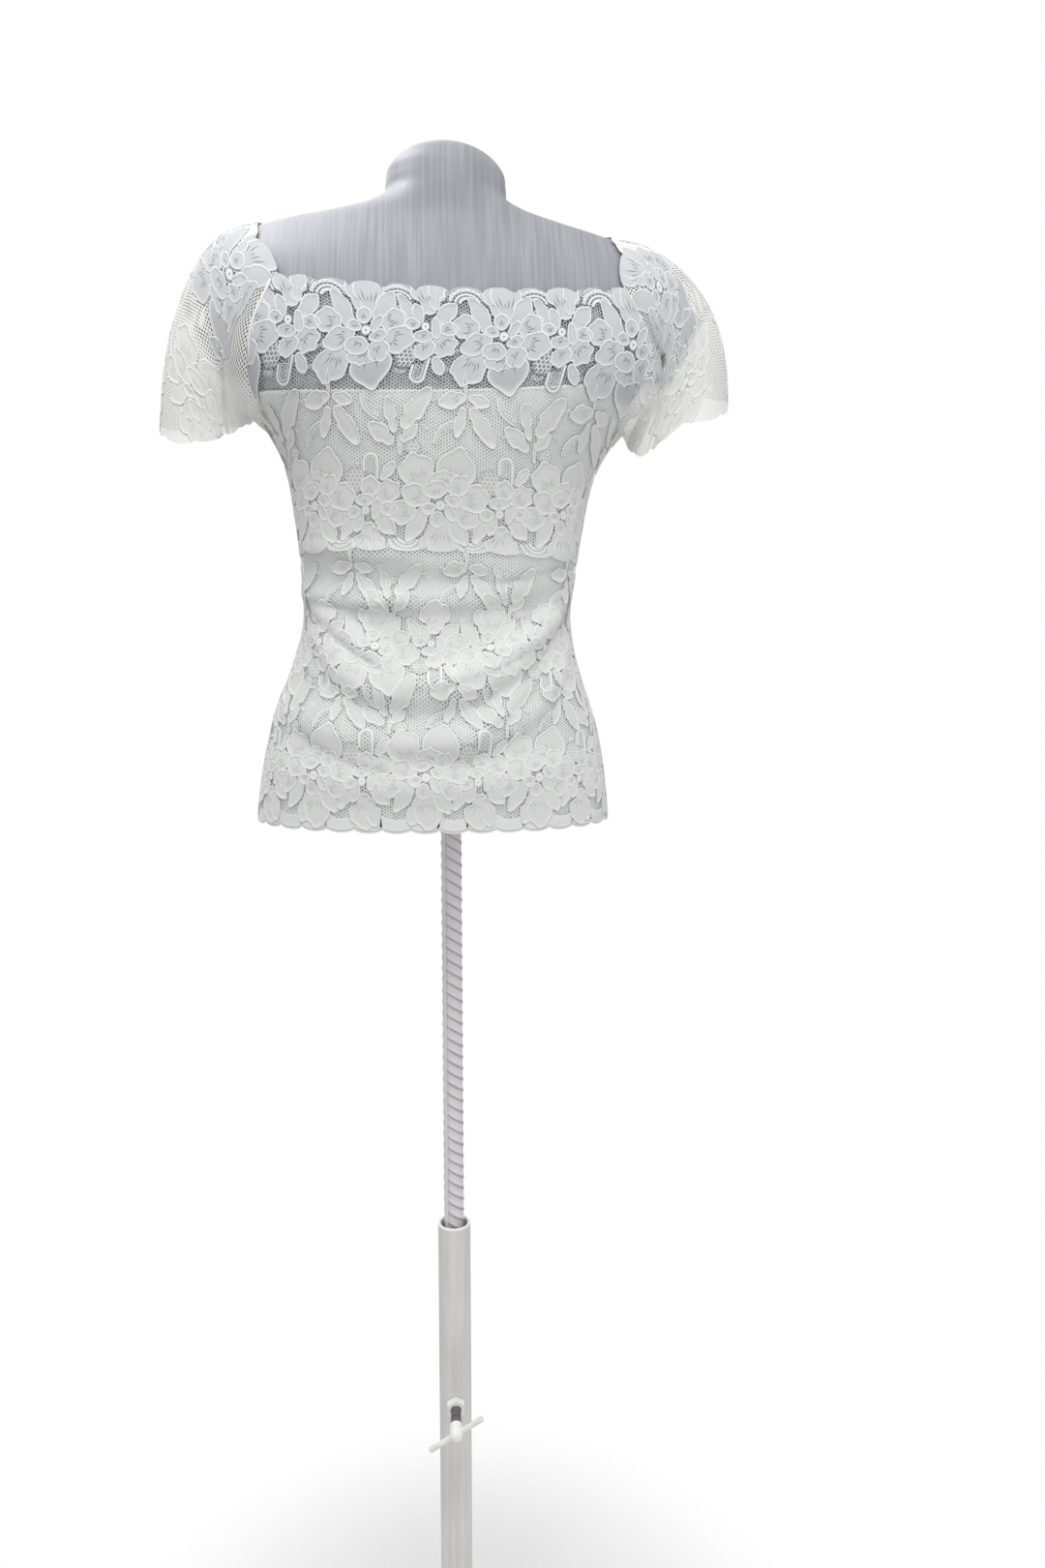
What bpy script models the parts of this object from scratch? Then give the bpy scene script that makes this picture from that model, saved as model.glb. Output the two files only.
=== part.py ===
"""White lace off-the-shoulder top on a limbless silver dress form, on its height-adjusting stand.

The garment's back faces -Y and its front +Y; its left side is at -X. The origin is on the floor under
the stand's tube. The cloth pieces are thin walls laid over one set of body sections, so that front,
back, lining and sleeves meet along shared seam lines. The form and the cloth on it lean a little
sideways on the rod, which is kept by parenting them all to one tilted empty.
"""

import math
from collections import namedtuple

import bmesh
import bpy
import numpy as np
from mathutils import Matrix, Vector

# Stand
BASE_RADIUS = 0.160
BASE_THICKNESS = 0.008
BASE_BEVEL = 0.002
TUBE_RADIUS = 0.01625
TUBE_WALL = 0.0026
TUBE_TOP_Z = 0.560
TUBE_RIM_BEVEL = 0.0008
ROD_RADIUS = 0.0098
ROD_RIB_HEIGHT = 0.00085
ROD_RIB_ANGLE = math.radians(221.0)
ROD_BOTTOM_Z = 0.150
SEAT_GAP = 0.0003
ROUND_SEGMENTS = 32

# Clamp
CLAMP_Z = 0.372
SCREW_RADIUS = 0.0050
SCREW_HEAD_Y = -0.0640
NUT_ACROSS_FLATS = 0.017
NUT_THICKNESS = 0.008
BAR_Y = -0.0576
BAR_RADIUS = 0.00275
BAR_LENGTH = 0.060
BAR_TURN = math.radians(31.0)
BORE_CLEARANCE = 0.0004
SMALL_SEGMENTS = 20

# Dress form: lean on the rod, and the socket that the rod enters
LEAN = math.radians(1.5)
LEAN_PIVOT = Vector((0.0, 0.0, 1.560))
FORM_SEGMENTS = 32
FORM_BASE_ROUND = 0.006
FORM_EXTRA_LEVELS = (1.297, 1.322, 1.346, 1.370)
SOCKET_DEPTH = 0.030
SOCKET_RADIUS = 0.0118
NECK_TOP_Z = 1.582

# Cloth: layers measured outwards from the form, and cutting levels
WALL = 0.0010
LINING_OFFSET = 0.0012
LACE_OFFSET = 0.0034
SEAM_GAP = 0.0003
HEM_Z = 0.9770
HEM_SKEW = 0.0040
LINING_HEM_Z = 0.9860
JOIN_Z = 1.2190
BAND_Z = 1.3460
UNDERARM_Z = 1.3320
NECK_Z = 1.4232
NECK_CORNER_RISE = 0.0118
NECK_SKEW = 0.0025
PANEL_COLUMNS = 24
NECK_SCALLOPS = 12
HEM_SCALLOPS = 16
SHOULDER_SCALLOPS = 5
CUFF_SCALLOPS = 12
NECK_SCALLOP_DEPTH = 0.0065
HEM_SCALLOP_DEPTH = 0.0040
CUFF_SCALLOP_DEPTH = 0.0040
JOIN_SCALLOP_DEPTH = 0.0040

# Sleeves
SHOULDER_COLUMNS = 10
SLEEVE_ROWS = 9
CUFF_HALF_Y = 0.060
CUFF_SEAM_TURN = math.radians(66.0)
SLEEVE_CORE_IN = 0.018
NORMAL_STEP = 0.02

# Horizontal sections of the form: half width, depth to the back and the front, squareness of the curve
Section = namedtuple("Section", "z half_width back front corner")
SECTIONS = (
    Section(0.982, 0.1620, 0.1060, 0.0930, 2.25),
    Section(1.020, 0.1570, 0.1040, 0.0930, 2.25),
    Section(1.065, 0.1480, 0.0950, 0.0910, 2.20),
    Section(1.106, 0.1335, 0.0820, 0.0880, 2.20),
    Section(1.142, 0.1230, 0.0720, 0.0860, 2.20),
    Section(1.174, 0.1200, 0.0690, 0.0860, 2.20),
    Section(1.210, 0.1240, 0.0740, 0.0890, 2.20),
    Section(1.250, 0.1295, 0.0840, 0.1000, 2.20),
    Section(1.284, 0.1355, 0.0920, 0.1140, 2.20),
    Section(1.310, 0.1450, 0.0960, 0.1190, 2.25),
    Section(1.335, 0.1610, 0.0980, 0.1140, 2.40),
    Section(1.358, 0.1830, 0.0980, 0.1050, 2.60),
    Section(1.382, 0.2010, 0.0965, 0.0950, 2.70),
    Section(1.410, 0.2100, 0.0930, 0.0840, 2.70),
    Section(1.438, 0.2125, 0.0860, 0.0730, 2.60),
    Section(1.462, 0.2100, 0.0770, 0.0620, 2.40),
    Section(1.480, 0.2020, 0.0670, 0.0530, 2.20),
    Section(1.493, 0.1850, 0.0590, 0.0470, 2.05),
    Section(1.503, 0.1580, 0.0540, 0.0440, 2.00),
    Section(1.511, 0.1220, 0.0520, 0.0430, 2.00),
    Section(1.520, 0.0840, 0.0510, 0.0430, 2.00),
    Section(1.532, 0.0580, 0.0500, 0.0430, 2.00),
    Section(1.546, 0.0542, 0.0475, 0.0420, 2.00),
    Section(1.557, 0.0525, 0.0445, 0.0390, 2.00),
    Section(1.5665, 0.0450, 0.0385, 0.0345, 2.00),
    Section(1.574, 0.0340, 0.0290, 0.0260, 2.00),
    Section(1.5795, 0.0200, 0.0170, 0.0150, 2.00),
)

# Armhole: how far the panels reach at the left and right, as a share of the section's half width
Armhole = namedtuple("Armhole", "z left right")
ARMHOLE = (
    Armhole(UNDERARM_Z, 1.000, 1.000),
    Armhole(1.3345, 0.986, 0.988),
    Armhole(1.3395, 0.960, 0.966),
    Armhole(1.346, 0.936, 0.943),
    Armhole(1.356, 0.905, 0.915),
    Armhole(1.370, 0.850, 0.893),
    Armhole(1.388, 0.795, 0.890),
    Armhole(1.410, 0.745, 0.852),
    Armhole(1.435, 0.660, 0.740),
    Armhole(1.460, 0.730, 0.745),
    Armhole(1.482, 0.825, 0.775),
    Armhole(1.494, 0.910, 0.830),
    Armhole(1.500, 1.000, 0.910),
    Armhole(1.505, 1.000, 1.000),
)

# Folds: the line of each ridge at the left side, its low point and the right side, its height, and
# how softly it falls away above and below
Fold = namedtuple("Fold", "left_z low_z low_at right_z height above below")
BACK_FOLDS = (
    Fold(1.216, 1.207, 0.10, 1.234, 0.0030, 0.012, 0.010),
    Fold(1.181, 1.171, -0.30, 1.203, 0.0055, 0.013, 0.009),
    Fold(1.168, 1.088, -0.15, 1.188, 0.0110, 0.022, 0.011),
    Fold(1.078, 1.049, 0.00, 1.148, 0.0075, 0.018, 0.011),
    Fold(1.030, 1.012, -0.20, 1.050, 0.0030, 0.014, 0.012),
)
FRONT_FOLDS = (
    Fold(1.190, 1.168, 0.20, 1.180, 0.0045, 0.015, 0.012),
    Fold(1.150, 1.110, -0.10, 1.140, 0.0050, 0.018, 0.012),
    Fold(1.085, 1.062, 0.15, 1.092, 0.0030, 0.016, 0.014),
)
WAIST_EASE = 0.0050
WAIST_EASE_Z = 1.150
WAIST_EASE_SPREAD = 0.055
FOLD_FADE = 0.7

# Levels of the panels' inner rows, between their cut edges
BACK_SKIRT_LEVELS = (
    0.994, 1.012, 1.028, 1.042, 1.055, 1.068, 1.080, 1.092,
    1.105, 1.119, 1.135, 1.151, 1.168, 1.185, 1.202,
)
FRONT_SKIRT_LEVELS = (0.994, 1.022, 1.050, 1.075, 1.098, 1.120, 1.143, 1.168, 1.195)
YOKE_LEVELS = (1.240, 1.264, 1.288, 1.311, UNDERARM_Z, 1.3345, 1.3395, BAND_Z, 1.366, 1.388, 1.410)

# Sleeve: how the cloth leaves the seam, and how straight it falls to the cuff, at columns counted
# from the underarm, round the back, to the shoulder ridge
Rib = namedtuple("Rib", "column out back down rise")
RIBS = (
    Rib(0, 0.003, 0.000, 0.002, 0.003),
    Rib(4, 0.012, 0.004, 0.010, 0.014),
    Rib(7, 0.030, 0.010, 0.011, 0.030),
    Rib(10, 0.044, 0.010, 0.010, 0.074),
    Rib(12, 0.050, 0.000, 0.005, 0.095),
)
Sleeve = namedtuple("Sleeve", "name side ridge_z spread centre_x half_x cuff")
SLEEVES = (
    Sleeve("sleeve_left", -1.0, 1.5000, 1.05, 0.2110, 0.0415, "left_z"),
    Sleeve("sleeve_right", 1.0, 1.5050, 1.27, 0.2150, 0.0510, "right_z"),
)

# Cuff: its level at each eighth of a turn from the body, round the back, the outside and the front
Cuff = namedtuple("Cuff", "left_z right_z")
CUFF_LEVELS = (
    Cuff(1.340, 1.343),
    Cuff(1.319, 1.313),
    Cuff(1.304, 1.337),
    Cuff(1.311, 1.350),
    Cuff(1.328, 1.373),
    Cuff(1.334, 1.386),
    Cuff(1.341, 1.384),
    Cuff(1.344, 1.360),
)

Finish = namedtuple("Finish", "name colour roughness metallic")
LACE = Finish("white_lace", (0.90, 0.91, 0.90), 0.75, 0.0)
LINING = Finish("white_lining", (0.86, 0.87, 0.87), 0.70, 0.0)
SILVER = Finish("silver_paint", (0.58, 0.59, 0.62), 0.34, 0.65)
STEEL = Finish("galvanised_steel", (0.60, 0.59, 0.59), 0.45, 0.90)
WHITE_PAINT = Finish("pale_grey_paint", (0.74, 0.74, 0.73), 0.40, 0.10)
ZINC = Finish("zinc_plating", (0.76, 0.76, 0.75), 0.35, 0.60)


def clear_scene():
    """Removes whatever the file holds."""
    for thing in list(bpy.data.objects):
        bpy.data.objects.remove(thing, do_unlink=True)


def material(finish):
    """The Principled material of a finish, made once."""
    found = bpy.data.materials.get(finish.name)
    if found:
        return found
    made = bpy.data.materials.new(finish.name)
    made.use_nodes = True
    shader = made.node_tree.nodes["Principled BSDF"]
    shader.inputs["Base Color"].default_value = (*finish.colour, 1.0)
    shader.inputs["Roughness"].default_value = finish.roughness
    shader.inputs["Metallic"].default_value = finish.metallic
    return made


def add_empty(name, location, rotation, parent=None):
    """An empty that carries other objects; its children keep their world places."""
    empty = bpy.data.objects.new(name, None)
    bpy.context.scene.collection.objects.link(empty)
    empty.parent = parent
    empty.location = location
    empty.rotation_euler = rotation
    return empty


def add_object(name, mesh, finish, parent=None, location=(0.0, 0.0, 0.0), rotation=(0.0, 0.0, 0.0)):
    """Turns a bmesh into a named, smooth shaded object."""
    bmesh.ops.recalc_face_normals(mesh, faces=mesh.faces)
    data = bpy.data.meshes.new(name)
    mesh.to_mesh(data)
    mesh.free()
    data.shade_smooth()
    data.set_sharp_from_angle(angle=math.radians(40.0))
    data.materials.append(material(finish))
    made = bpy.data.objects.new(name, data)
    bpy.context.scene.collection.objects.link(made)
    made.parent = parent
    made.location = location
    made.rotation_euler = rotation
    return made


# Body sections as smooth functions


def through(values, position):
    """A smooth curve through evenly numbered values, read at a fractional position."""
    last = len(values) - 1
    low = min(int(position), last - 1)
    share = position - low
    before, first, second, after = (values[min(max(low + step, 0), last)] for step in (-1, 0, 1, 2))
    rise = (second - before) * 0.5
    fall = (after - first) * 0.5
    return (
        first
        + rise * share
        + (3 * (second - first) - 2 * rise - fall) * share**2
        + (2 * (first - second) + rise + fall) * share**3
    )


def dense_sections(steps=24):
    """The section table read at many positions, one array for each column."""
    table = np.array(SECTIONS)
    positions = np.linspace(0, len(table) - 1, steps * (len(table) - 1) + 1)
    rows = np.array([through(table, position) for position in positions])
    return {name: rows[:, column] for column, name in enumerate(Section._fields)}


DENSE = dense_sections()


def section(z):
    """The form's section at a height."""
    return Section(z, *(float(np.interp(z, DENSE["z"], DENSE[name])) for name in Section._fields[1:]))


def on_section(cut, angle, z=None):
    """A point of a section; angle 0 is at +X and the front is at a quarter turn."""
    power = 2.0 / cut.corner
    depth = cut.front if math.sin(angle) > 0 else cut.back
    across = math.copysign(abs(math.cos(angle)) ** power, math.cos(angle))
    along = math.copysign(abs(math.sin(angle)) ** power, math.sin(angle))
    return Vector((cut.half_width * across, depth * along, cut.z if z is None else z))


def form_point(angle, z):
    """A point of the form's surface."""
    return on_section(section(z), angle)


def normal_of(surface, angle, z, step=0.0015):
    """The outward normal of a surface given as a function of angle and height."""
    turn = step / 0.12
    around = surface(angle + turn, z) - surface(angle - turn, z)
    up = surface(angle, z + step) - surface(angle, z - step)
    return around.cross(up).normalized()


def fold_height(fold, across, z):
    """How far one fold stands out, at a share of the half width and a height."""
    low = fold.low_at
    curve = (fold.left_z - fold.low_z) / (1 + low) ** 2 if across < low else 0.0
    if across >= low:
        curve = (fold.right_z - fold.low_z) / (1 - low) ** 2
    ridge = fold.low_z + curve * (across - low) ** 2
    spread = fold.above if z > ridge else fold.below
    return fold.height * math.exp(-(((z - ridge) / spread) ** 2)) * (1 - 0.75 * across**2)


def looseness(angle, z):
    """How far the cloth stands off the form: an ease at the waist, and folds that fade at the sides."""
    facing = abs(math.sin(angle))
    folds = BACK_FOLDS if math.sin(angle) < 0 else FRONT_FOLDS
    ease = WAIST_EASE * math.exp(-(((z - WAIST_EASE_Z) / WAIST_EASE_SPREAD) ** 2))
    height = sum(fold_height(fold, math.cos(angle), z) for fold in folds)
    return ease * facing**2 + height * facing**FOLD_FADE


def draped(angle, z):
    """The surface on which the cloth's layers are built: the form and the looseness over it."""
    return form_point(angle, z) + normal_of(form_point, angle, z) * looseness(angle, z)


def cloth_vertex(offset, angle, z):
    """A point of a cloth layer with its outward normal."""
    out = normal_of(draped, angle, z)
    return draped(angle, z) + out * offset, out


# Panels


def side_angle(z, side):
    """Angle from a side seam to a panel's edge: zero below the underarm, more along the armhole."""
    if z <= UNDERARM_Z:
        return 0.0
    levels, left, right = np.array(ARMHOLE).T
    reach = float(np.interp(z, levels, left if side < 0 else right))
    return math.acos(min(1.0, reach) ** (section(z).corner / 2.0))


def even_angles(z, start, end, shares):
    """Angles that part the section at z into the given shares of its length."""
    cut = section(z)
    fine = np.linspace(start, end, 97)
    points = np.array([on_section(cut, angle)[:2] for angle in fine])
    run = np.concatenate(([0.0], np.cumsum(np.linalg.norm(np.diff(points, axis=0), axis=1))))
    gap = SEAM_GAP / 2
    return np.interp(gap + np.array(shares) * (run[-1] - 2 * gap), run, fine)


def scallop(share, count):
    """Height of a row of round scallops at a share of its length, from 0 at a cusp to 1 at a top."""
    place = (share * count) % 1.0
    return math.sqrt(max(0.0, 1.0 - (2.0 * place - 1.0) ** 2))


def neck_edge(share):
    """The neckline: nearly straight, lifted at its corners, scalloped upwards."""
    return (
        NECK_Z
        + NECK_CORNER_RISE * (2 * share - 1) ** 2
        + NECK_SCALLOP_DEPTH * scallop(share, NECK_SCALLOPS)
    )


def join_edge(share):
    """Where the upper lace lies on the lower lace, scalloped downwards."""
    return JOIN_Z - JOIN_SCALLOP_DEPTH * scallop(share, HEM_SCALLOPS)


def above_join(share):
    """The lower edge of the upper lace, a seam's gap above the join."""
    return join_edge(share) + SEAM_GAP


def hem_edge(share):
    """The hem, scalloped downwards."""
    return HEM_Z - HEM_SCALLOP_DEPTH * scallop(share, HEM_SCALLOPS)


def straight(z):
    """An edge that keeps one height."""
    return lambda share: z


# Cut edges: height at a share of the width, whether its steps are halved, and its rise towards +X
Edge = namedtuple("Edge", "height fine skew")
NECKLINE = Edge(neck_edge, True, NECK_SKEW)
UPPER_JOIN = Edge(above_join, True, 0.0)
LOWER_JOIN = Edge(join_edge, True, 0.0)
HEM = Edge(hem_edge, True, HEM_SKEW)
LINING_HEM = Edge(straight(LINING_HEM_Z), False, HEM_SKEW)
LINING_BAND = Edge(straight(BAND_Z), False, 0.0)


def shares_of(count):
    """Even shares from 0 to 1."""
    return [step / count for step in range(count + 1)]


def panel_rows(offset, back, bottom, levels, top):
    """Rows of vertices from a panel's bottom edge to its top edge."""
    rows = []
    for edge in (bottom, *(Edge(straight(z), False, 0.0) for z in levels), top):
        shares = shares_of(PANEL_COLUMNS * (2 if edge.fine else 1))
        towards_right = 1 if back else -1
        heights = [edge.height(share) + edge.skew * towards_right * (2 * share - 1) for share in shares]
        first = side_angle(heights[0], -towards_right)
        last = side_angle(heights[-1], towards_right)
        turn = math.pi if back else 0.0
        angles = even_angles(edge.height(0.0), turn + first, turn + math.pi - last, shares)
        rows.append([cloth_vertex(offset, angle, z) for angle, z in zip(angles, heights)])
    return rows


def strip(mesh, low, high, closed):
    """Faces between two rows; one row may have twice the other's steps."""
    if len(high) > len(low):
        strip(mesh, high, low, closed)
        return
    step = 1 if len(low) == len(high) else 2
    count = len(high) if closed else len(high) - 1
    for column in range(count):
        following = (column + 1) % len(high)
        first = low[column * step]
        last = low[(column + 1) * step % len(low)]
        if step == 1:
            mesh.faces.new((first, last, high[following], high[column]))
            continue
        middle = low[column * step + 1]
        mesh.faces.new((first, middle, high[column]))
        mesh.faces.new((middle, high[following], high[column]))
        mesh.faces.new((middle, last, high[following]))


def wall(name, rows, finish, parent, closed=False):
    """A cloth wall: an inner and an outer layer of the same rows, closed along the cut edges."""
    mesh = bmesh.new()
    inner = [[mesh.verts.new(point) for point, out in row] for row in rows]
    outer = [[mesh.verts.new(point + out * WALL) for point, out in row] for row in rows]
    for layer in (inner, outer):
        for low, high in zip(layer, layer[1:]):
            strip(mesh, low, high, closed)
    for end in (0, -1):
        strip(mesh, inner[end], outer[end], closed)
    if not closed:
        for side in (0, -1):
            strip(mesh, [row[side] for row in inner], [row[side] for row in outer], False)
    bmesh.ops.triangulate(mesh, faces=[face for face in mesh.faces if len(face.verts) > 3])
    return add_object(name, mesh, finish, parent)


def make_panels(parent):
    """Front and back: upper lace, lower lace and lining."""
    for side, back, skirt_levels in (
        ("back", True, BACK_SKIRT_LEVELS),
        ("front", False, FRONT_SKIRT_LEVELS),
    ):
        skirt = panel_rows(LACE_OFFSET, back, HEM, skirt_levels, LOWER_JOIN)
        wall(side + "_lower_lace", skirt, LACE, parent)
        yoke = panel_rows(LACE_OFFSET, back, UPPER_JOIN, YOKE_LEVELS, NECKLINE)
        wall(side + "_upper_lace", yoke, LACE, parent)
        levels = skirt_levels + (JOIN_Z,) + tuple(z for z in YOKE_LEVELS if z < BAND_Z)
        lined = panel_rows(LINING_OFFSET, back, LINING_HEM, levels, LINING_BAND)
        wall(side + "_lining", lined, LINING, parent)


# Sleeves


def sleeve_edge(sleeve):
    """The sleeve's inner edge, from the underarm up the back seam, over the shoulder and down the
    front seam, as fine points with normals. Seam points lie halfway along the panels' straight steps."""
    corner = neck_edge(0.0) + NECK_SKEW * sleeve.side
    seam = [z for z in YOKE_LEVELS if z >= UNDERARM_Z] + [corner]
    quarter = [step / SHOULDER_COLUMNS * math.pi / 2 for step in range(SHOULDER_COLUMNS + 1)]
    over = [corner + (sleeve.ridge_z - corner) * math.sin(turn) for turn in quarter]

    def at(z, back):
        lift = side_angle(z, sleeve.side)
        angle = lift if sleeve.side > 0 else math.pi - lift
        return cloth_vertex(LACE_OFFSET, -angle if back else angle, z)

    def halved(points):
        fine = []
        for (first, out), (second, other) in zip(points, points[1:]):
            fine += [(first, out), ((first + second) / 2, (out + other).normalized())]
        return fine

    back_seam = halved([at(z, True) for z in seam])
    front_seam = halved([at(z, False) for z in reversed(seam)])
    over_back = [at(z, True) for z in over[:-1]]
    over_front = [at(z, False) for z in reversed(over[1:])]
    return back_seam + over_back + over_front + front_seam, len(seam) - 1


def sleeve_rib(column, columns):
    """The rib values at a column; the front mirrors the back."""
    place = min(column, columns - column)
    table = np.array(RIBS)
    out, back, down, rise = (float(np.interp(place, table[:, 0], values)) for values in table[:, 1:].T)
    return out, back if column <= columns / 2 else -back, down, rise


def cuff_point(sleeve, column, columns, seam_columns):
    """A point of the cuff's loop."""
    full = 2 * math.pi
    keys = (0, seam_columns, columns / 2, columns - seam_columns, columns)
    turns = (0.0, CUFF_SEAM_TURN, math.pi, full - CUFF_SEAM_TURN, full)
    turn = float(np.interp(column, keys, turns))
    levels = [getattr(level, sleeve.cuff) for level in CUFF_LEVELS]
    return Vector((
        sleeve.side * (sleeve.centre_x - sleeve.half_x * math.cos(turn)),
        -CUFF_HALF_Y * math.sin(turn),
        through(levels + levels[:1], turn / full * len(levels)),
    ))


def sleeve_rows(sleeve):
    """Rows of a sleeve from its inner edge to the cuff."""
    edge, seam_columns = sleeve_edge(sleeve)
    columns = len(edge) // 2

    def point(fine, share):
        column = fine / 2
        start = edge[fine % len(edge)][0]
        end = cuff_point(sleeve, column, columns, seam_columns)
        out, back, down, rise = sleeve_rib(column, columns)
        leave = start + Vector((sleeve.side * out * sleeve.spread, -back, -down))
        arrive = end + Vector((0.0, 0.0, rise))
        rest = 1 - share
        return (
            start * rest**3 + leave * (3 * rest**2 * share) + arrive * (3 * rest * share**2) + end * share**3
        )

    def normal(fine, share):
        around = point((fine + 1) % len(edge), share) - point((fine - 1) % len(edge), share)
        down = point(fine, min(1.0, share + NORMAL_STEP)) - point(fine, max(0.0, share - NORMAL_STEP))
        out = around.cross(down).normalized() * sleeve.side
        place = point(fine, share)
        core = Vector((sleeve.side * (sleeve.centre_x - SLEEVE_CORE_IN), 0.0, place.z - SLEEVE_CORE_IN))
        return out if out.dot(place - core) > 0 else -out

    first = []
    for fine, (start, out) in enumerate(edge):
        along = (point(fine, 3 * NORMAL_STEP) - start).normalized()
        share = (fine / 2 - seam_columns) / (columns - 2 * seam_columns)
        reach = NECK_SCALLOP_DEPTH * scallop(share, SHOULDER_SCALLOPS) if 0 <= share <= 1 else 0.0
        first.append((start + along * (SEAM_GAP - reach), out))
    rows = [first]
    for row in range(1, SLEEVE_ROWS):
        share = row / SLEEVE_ROWS
        rows.append([(point(fine, share), normal(fine, share)) for fine in range(0, len(edge), 2)])
    last = []
    for fine in range(len(edge)):
        drop = CUFF_SCALLOP_DEPTH * scallop(fine / len(edge), CUFF_SCALLOPS)
        last.append((point(fine, 1.0) - Vector((0.0, 0.0, drop)), normal(fine, 1.0)))
    rows.append(last)
    return rows


def make_sleeves(parent):
    """Both short sleeves, each one tube from armhole and neckline to cuff."""
    for sleeve in SLEEVES:
        wall(sleeve.name, sleeve_rows(sleeve), LACE, parent, closed=True)


# Dress form


def loft(mesh, rings):
    """Joins rings of equal size into a skin."""
    made = [[mesh.verts.new(point) for point in ring] for ring in rings]
    for low, high in zip(made, made[1:]):
        strip(mesh, low, high, True)
    return made


def narrowed(cut, inset):
    """A section drawn in by a rounding on every side."""
    return cut._replace(
        half_width=cut.half_width - inset, back=cut.back - inset, front=cut.front - inset
    )


def make_form(parent):
    """The limbless form: one smooth body with a socket for the rod in its flat underside."""
    turns = [2 * math.pi * step / FORM_SEGMENTS for step in range(FORM_SEGMENTS)]
    base = SECTIONS[0]
    socket = lean_matrix().inverted() @ Vector((0.0, rod_y(), base.z))
    circle = [SOCKET_RADIUS * Vector((math.cos(turn), math.sin(turn), 0.0)) for turn in turns]
    rings = [[socket + point + Vector((0.0, 0.0, rise)) for point in circle] for rise in (SOCKET_DEPTH, 0.0)]
    rings.append([on_section(narrowed(base, FORM_BASE_ROUND), turn) for turn in turns])
    for z in sorted([base.z + FORM_BASE_ROUND, *FORM_EXTRA_LEVELS, *(cut.z for cut in SECTIONS[1:])]):
        rings.append([form_point(turn, z) for turn in turns])
    mesh = bmesh.new()
    made = loft(mesh, rings)
    roof = mesh.verts.new((socket.x, socket.y, rings[0][0].z))
    crown = mesh.verts.new((0.0, 0.0, NECK_TOP_Z))
    for ring, tip in ((made[0], roof), (made[-1], crown)):
        for first, second in zip(ring, ring[1:] + ring[:1]):
            mesh.faces.new((first, second, tip))
    return add_object("dress_form", mesh, SILVER, parent)


def lean_matrix():
    """The lean of the form and of the cloth about its pivot."""
    return Matrix.Translation(LEAN_PIVOT) @ Matrix.Rotation(LEAN, 4, "Y") @ Matrix.Translation(-LEAN_PIVOT)


# Stand


def turned(profile, segments, close=True):
    """A turned ring about Z from a closed profile of radius and height pairs."""
    mesh = bmesh.new()
    turns = [2 * math.pi * step / segments for step in range(segments)]
    circle = [(math.cos(turn), math.sin(turn)) for turn in turns]
    made = loft(mesh, [[(radius * x, radius * y, z) for x, y in circle] for radius, z in profile])
    if close:
        strip(mesh, made[-1], made[0], True)
    else:
        mesh.faces.new(made[0])
        mesh.faces.new(made[-1])
    return mesh


def cylinder(radius, length, segments):
    """A cylinder about Z, centred on the origin."""
    mesh = bmesh.new()
    bmesh.ops.create_cone(
        mesh, cap_ends=True, segments=segments, radius1=radius, radius2=radius, depth=length
    )
    return mesh


def add_cutter(name, mesh, location, rotation, target):
    """Cuts a hidden shape out of its target with a Boolean modifier."""
    cutter = add_object(name, mesh, ZINC, None, location, rotation)
    cutter.hide_render = True
    cutter.display_type = "WIRE"
    cut = target.modifiers.new(name, "BOOLEAN")
    cut.operation = "DIFFERENCE"
    cut.object = cutter


def rod_y():
    """The rod leans on the tube's far wall, where the clamp presses it."""
    return TUBE_RADIUS - TUBE_WALL - ROD_RADIUS - SEAT_GAP


def make_base(parent):
    """A round floor plate with a softened rim."""
    rim = BASE_RADIUS - BASE_BEVEL
    profile = (
        (rim, 0.0),
        (BASE_RADIUS, BASE_BEVEL),
        (BASE_RADIUS, BASE_THICKNESS - BASE_BEVEL),
        (rim, BASE_THICKNESS),
    )
    return add_object("base_plate", turned(profile, 48, close=False), WHITE_PAINT, parent)


def make_tube(parent):
    """The upright tube, open at its top, with a hole for the clamp screw."""
    bore = TUBE_RADIUS - TUBE_WALL
    foot = BASE_THICKNESS + SEAT_GAP
    profile = (
        (TUBE_RADIUS, foot),
        (TUBE_RADIUS, TUBE_TOP_Z - TUBE_RIM_BEVEL),
        (TUBE_RADIUS - TUBE_RIM_BEVEL, TUBE_TOP_Z),
        (bore + TUBE_RIM_BEVEL, TUBE_TOP_Z),
        (bore, TUBE_TOP_Z - TUBE_RIM_BEVEL),
        (bore, foot),
    )
    tube = add_object("stand_tube", turned(profile, ROUND_SEGMENTS), WHITE_PAINT, parent)
    hole = cylinder(SCREW_RADIUS + BORE_CLEARANCE, TUBE_RADIUS, SMALL_SEGMENTS)
    add_cutter("screw_hole_cutter", hole, (0.0, -TUBE_RADIUS, CLAMP_Z), (math.pi / 2, 0.0, 0.0), tube)
    return tube


def make_nut(parent):
    """The hexagon nut welded on the tube."""
    corner_radius = NUT_ACROSS_FLATS / math.sqrt(3.0)
    place = (0.0, -TUBE_RADIUS - SEAT_GAP - NUT_THICKNESS / 2, CLAMP_Z)
    nut = add_object(
        "clamp_nut", cylinder(corner_radius, NUT_THICKNESS, 6), ZINC, parent, place, (math.pi / 2, 0.0, 0.0)
    )
    bore = cylinder(SCREW_RADIUS + BORE_CLEARANCE, NUT_THICKNESS * 2, SMALL_SEGMENTS)
    add_cutter("nut_bore_cutter", bore, place, (math.pi / 2, 0.0, 0.0), nut)
    return nut


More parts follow.
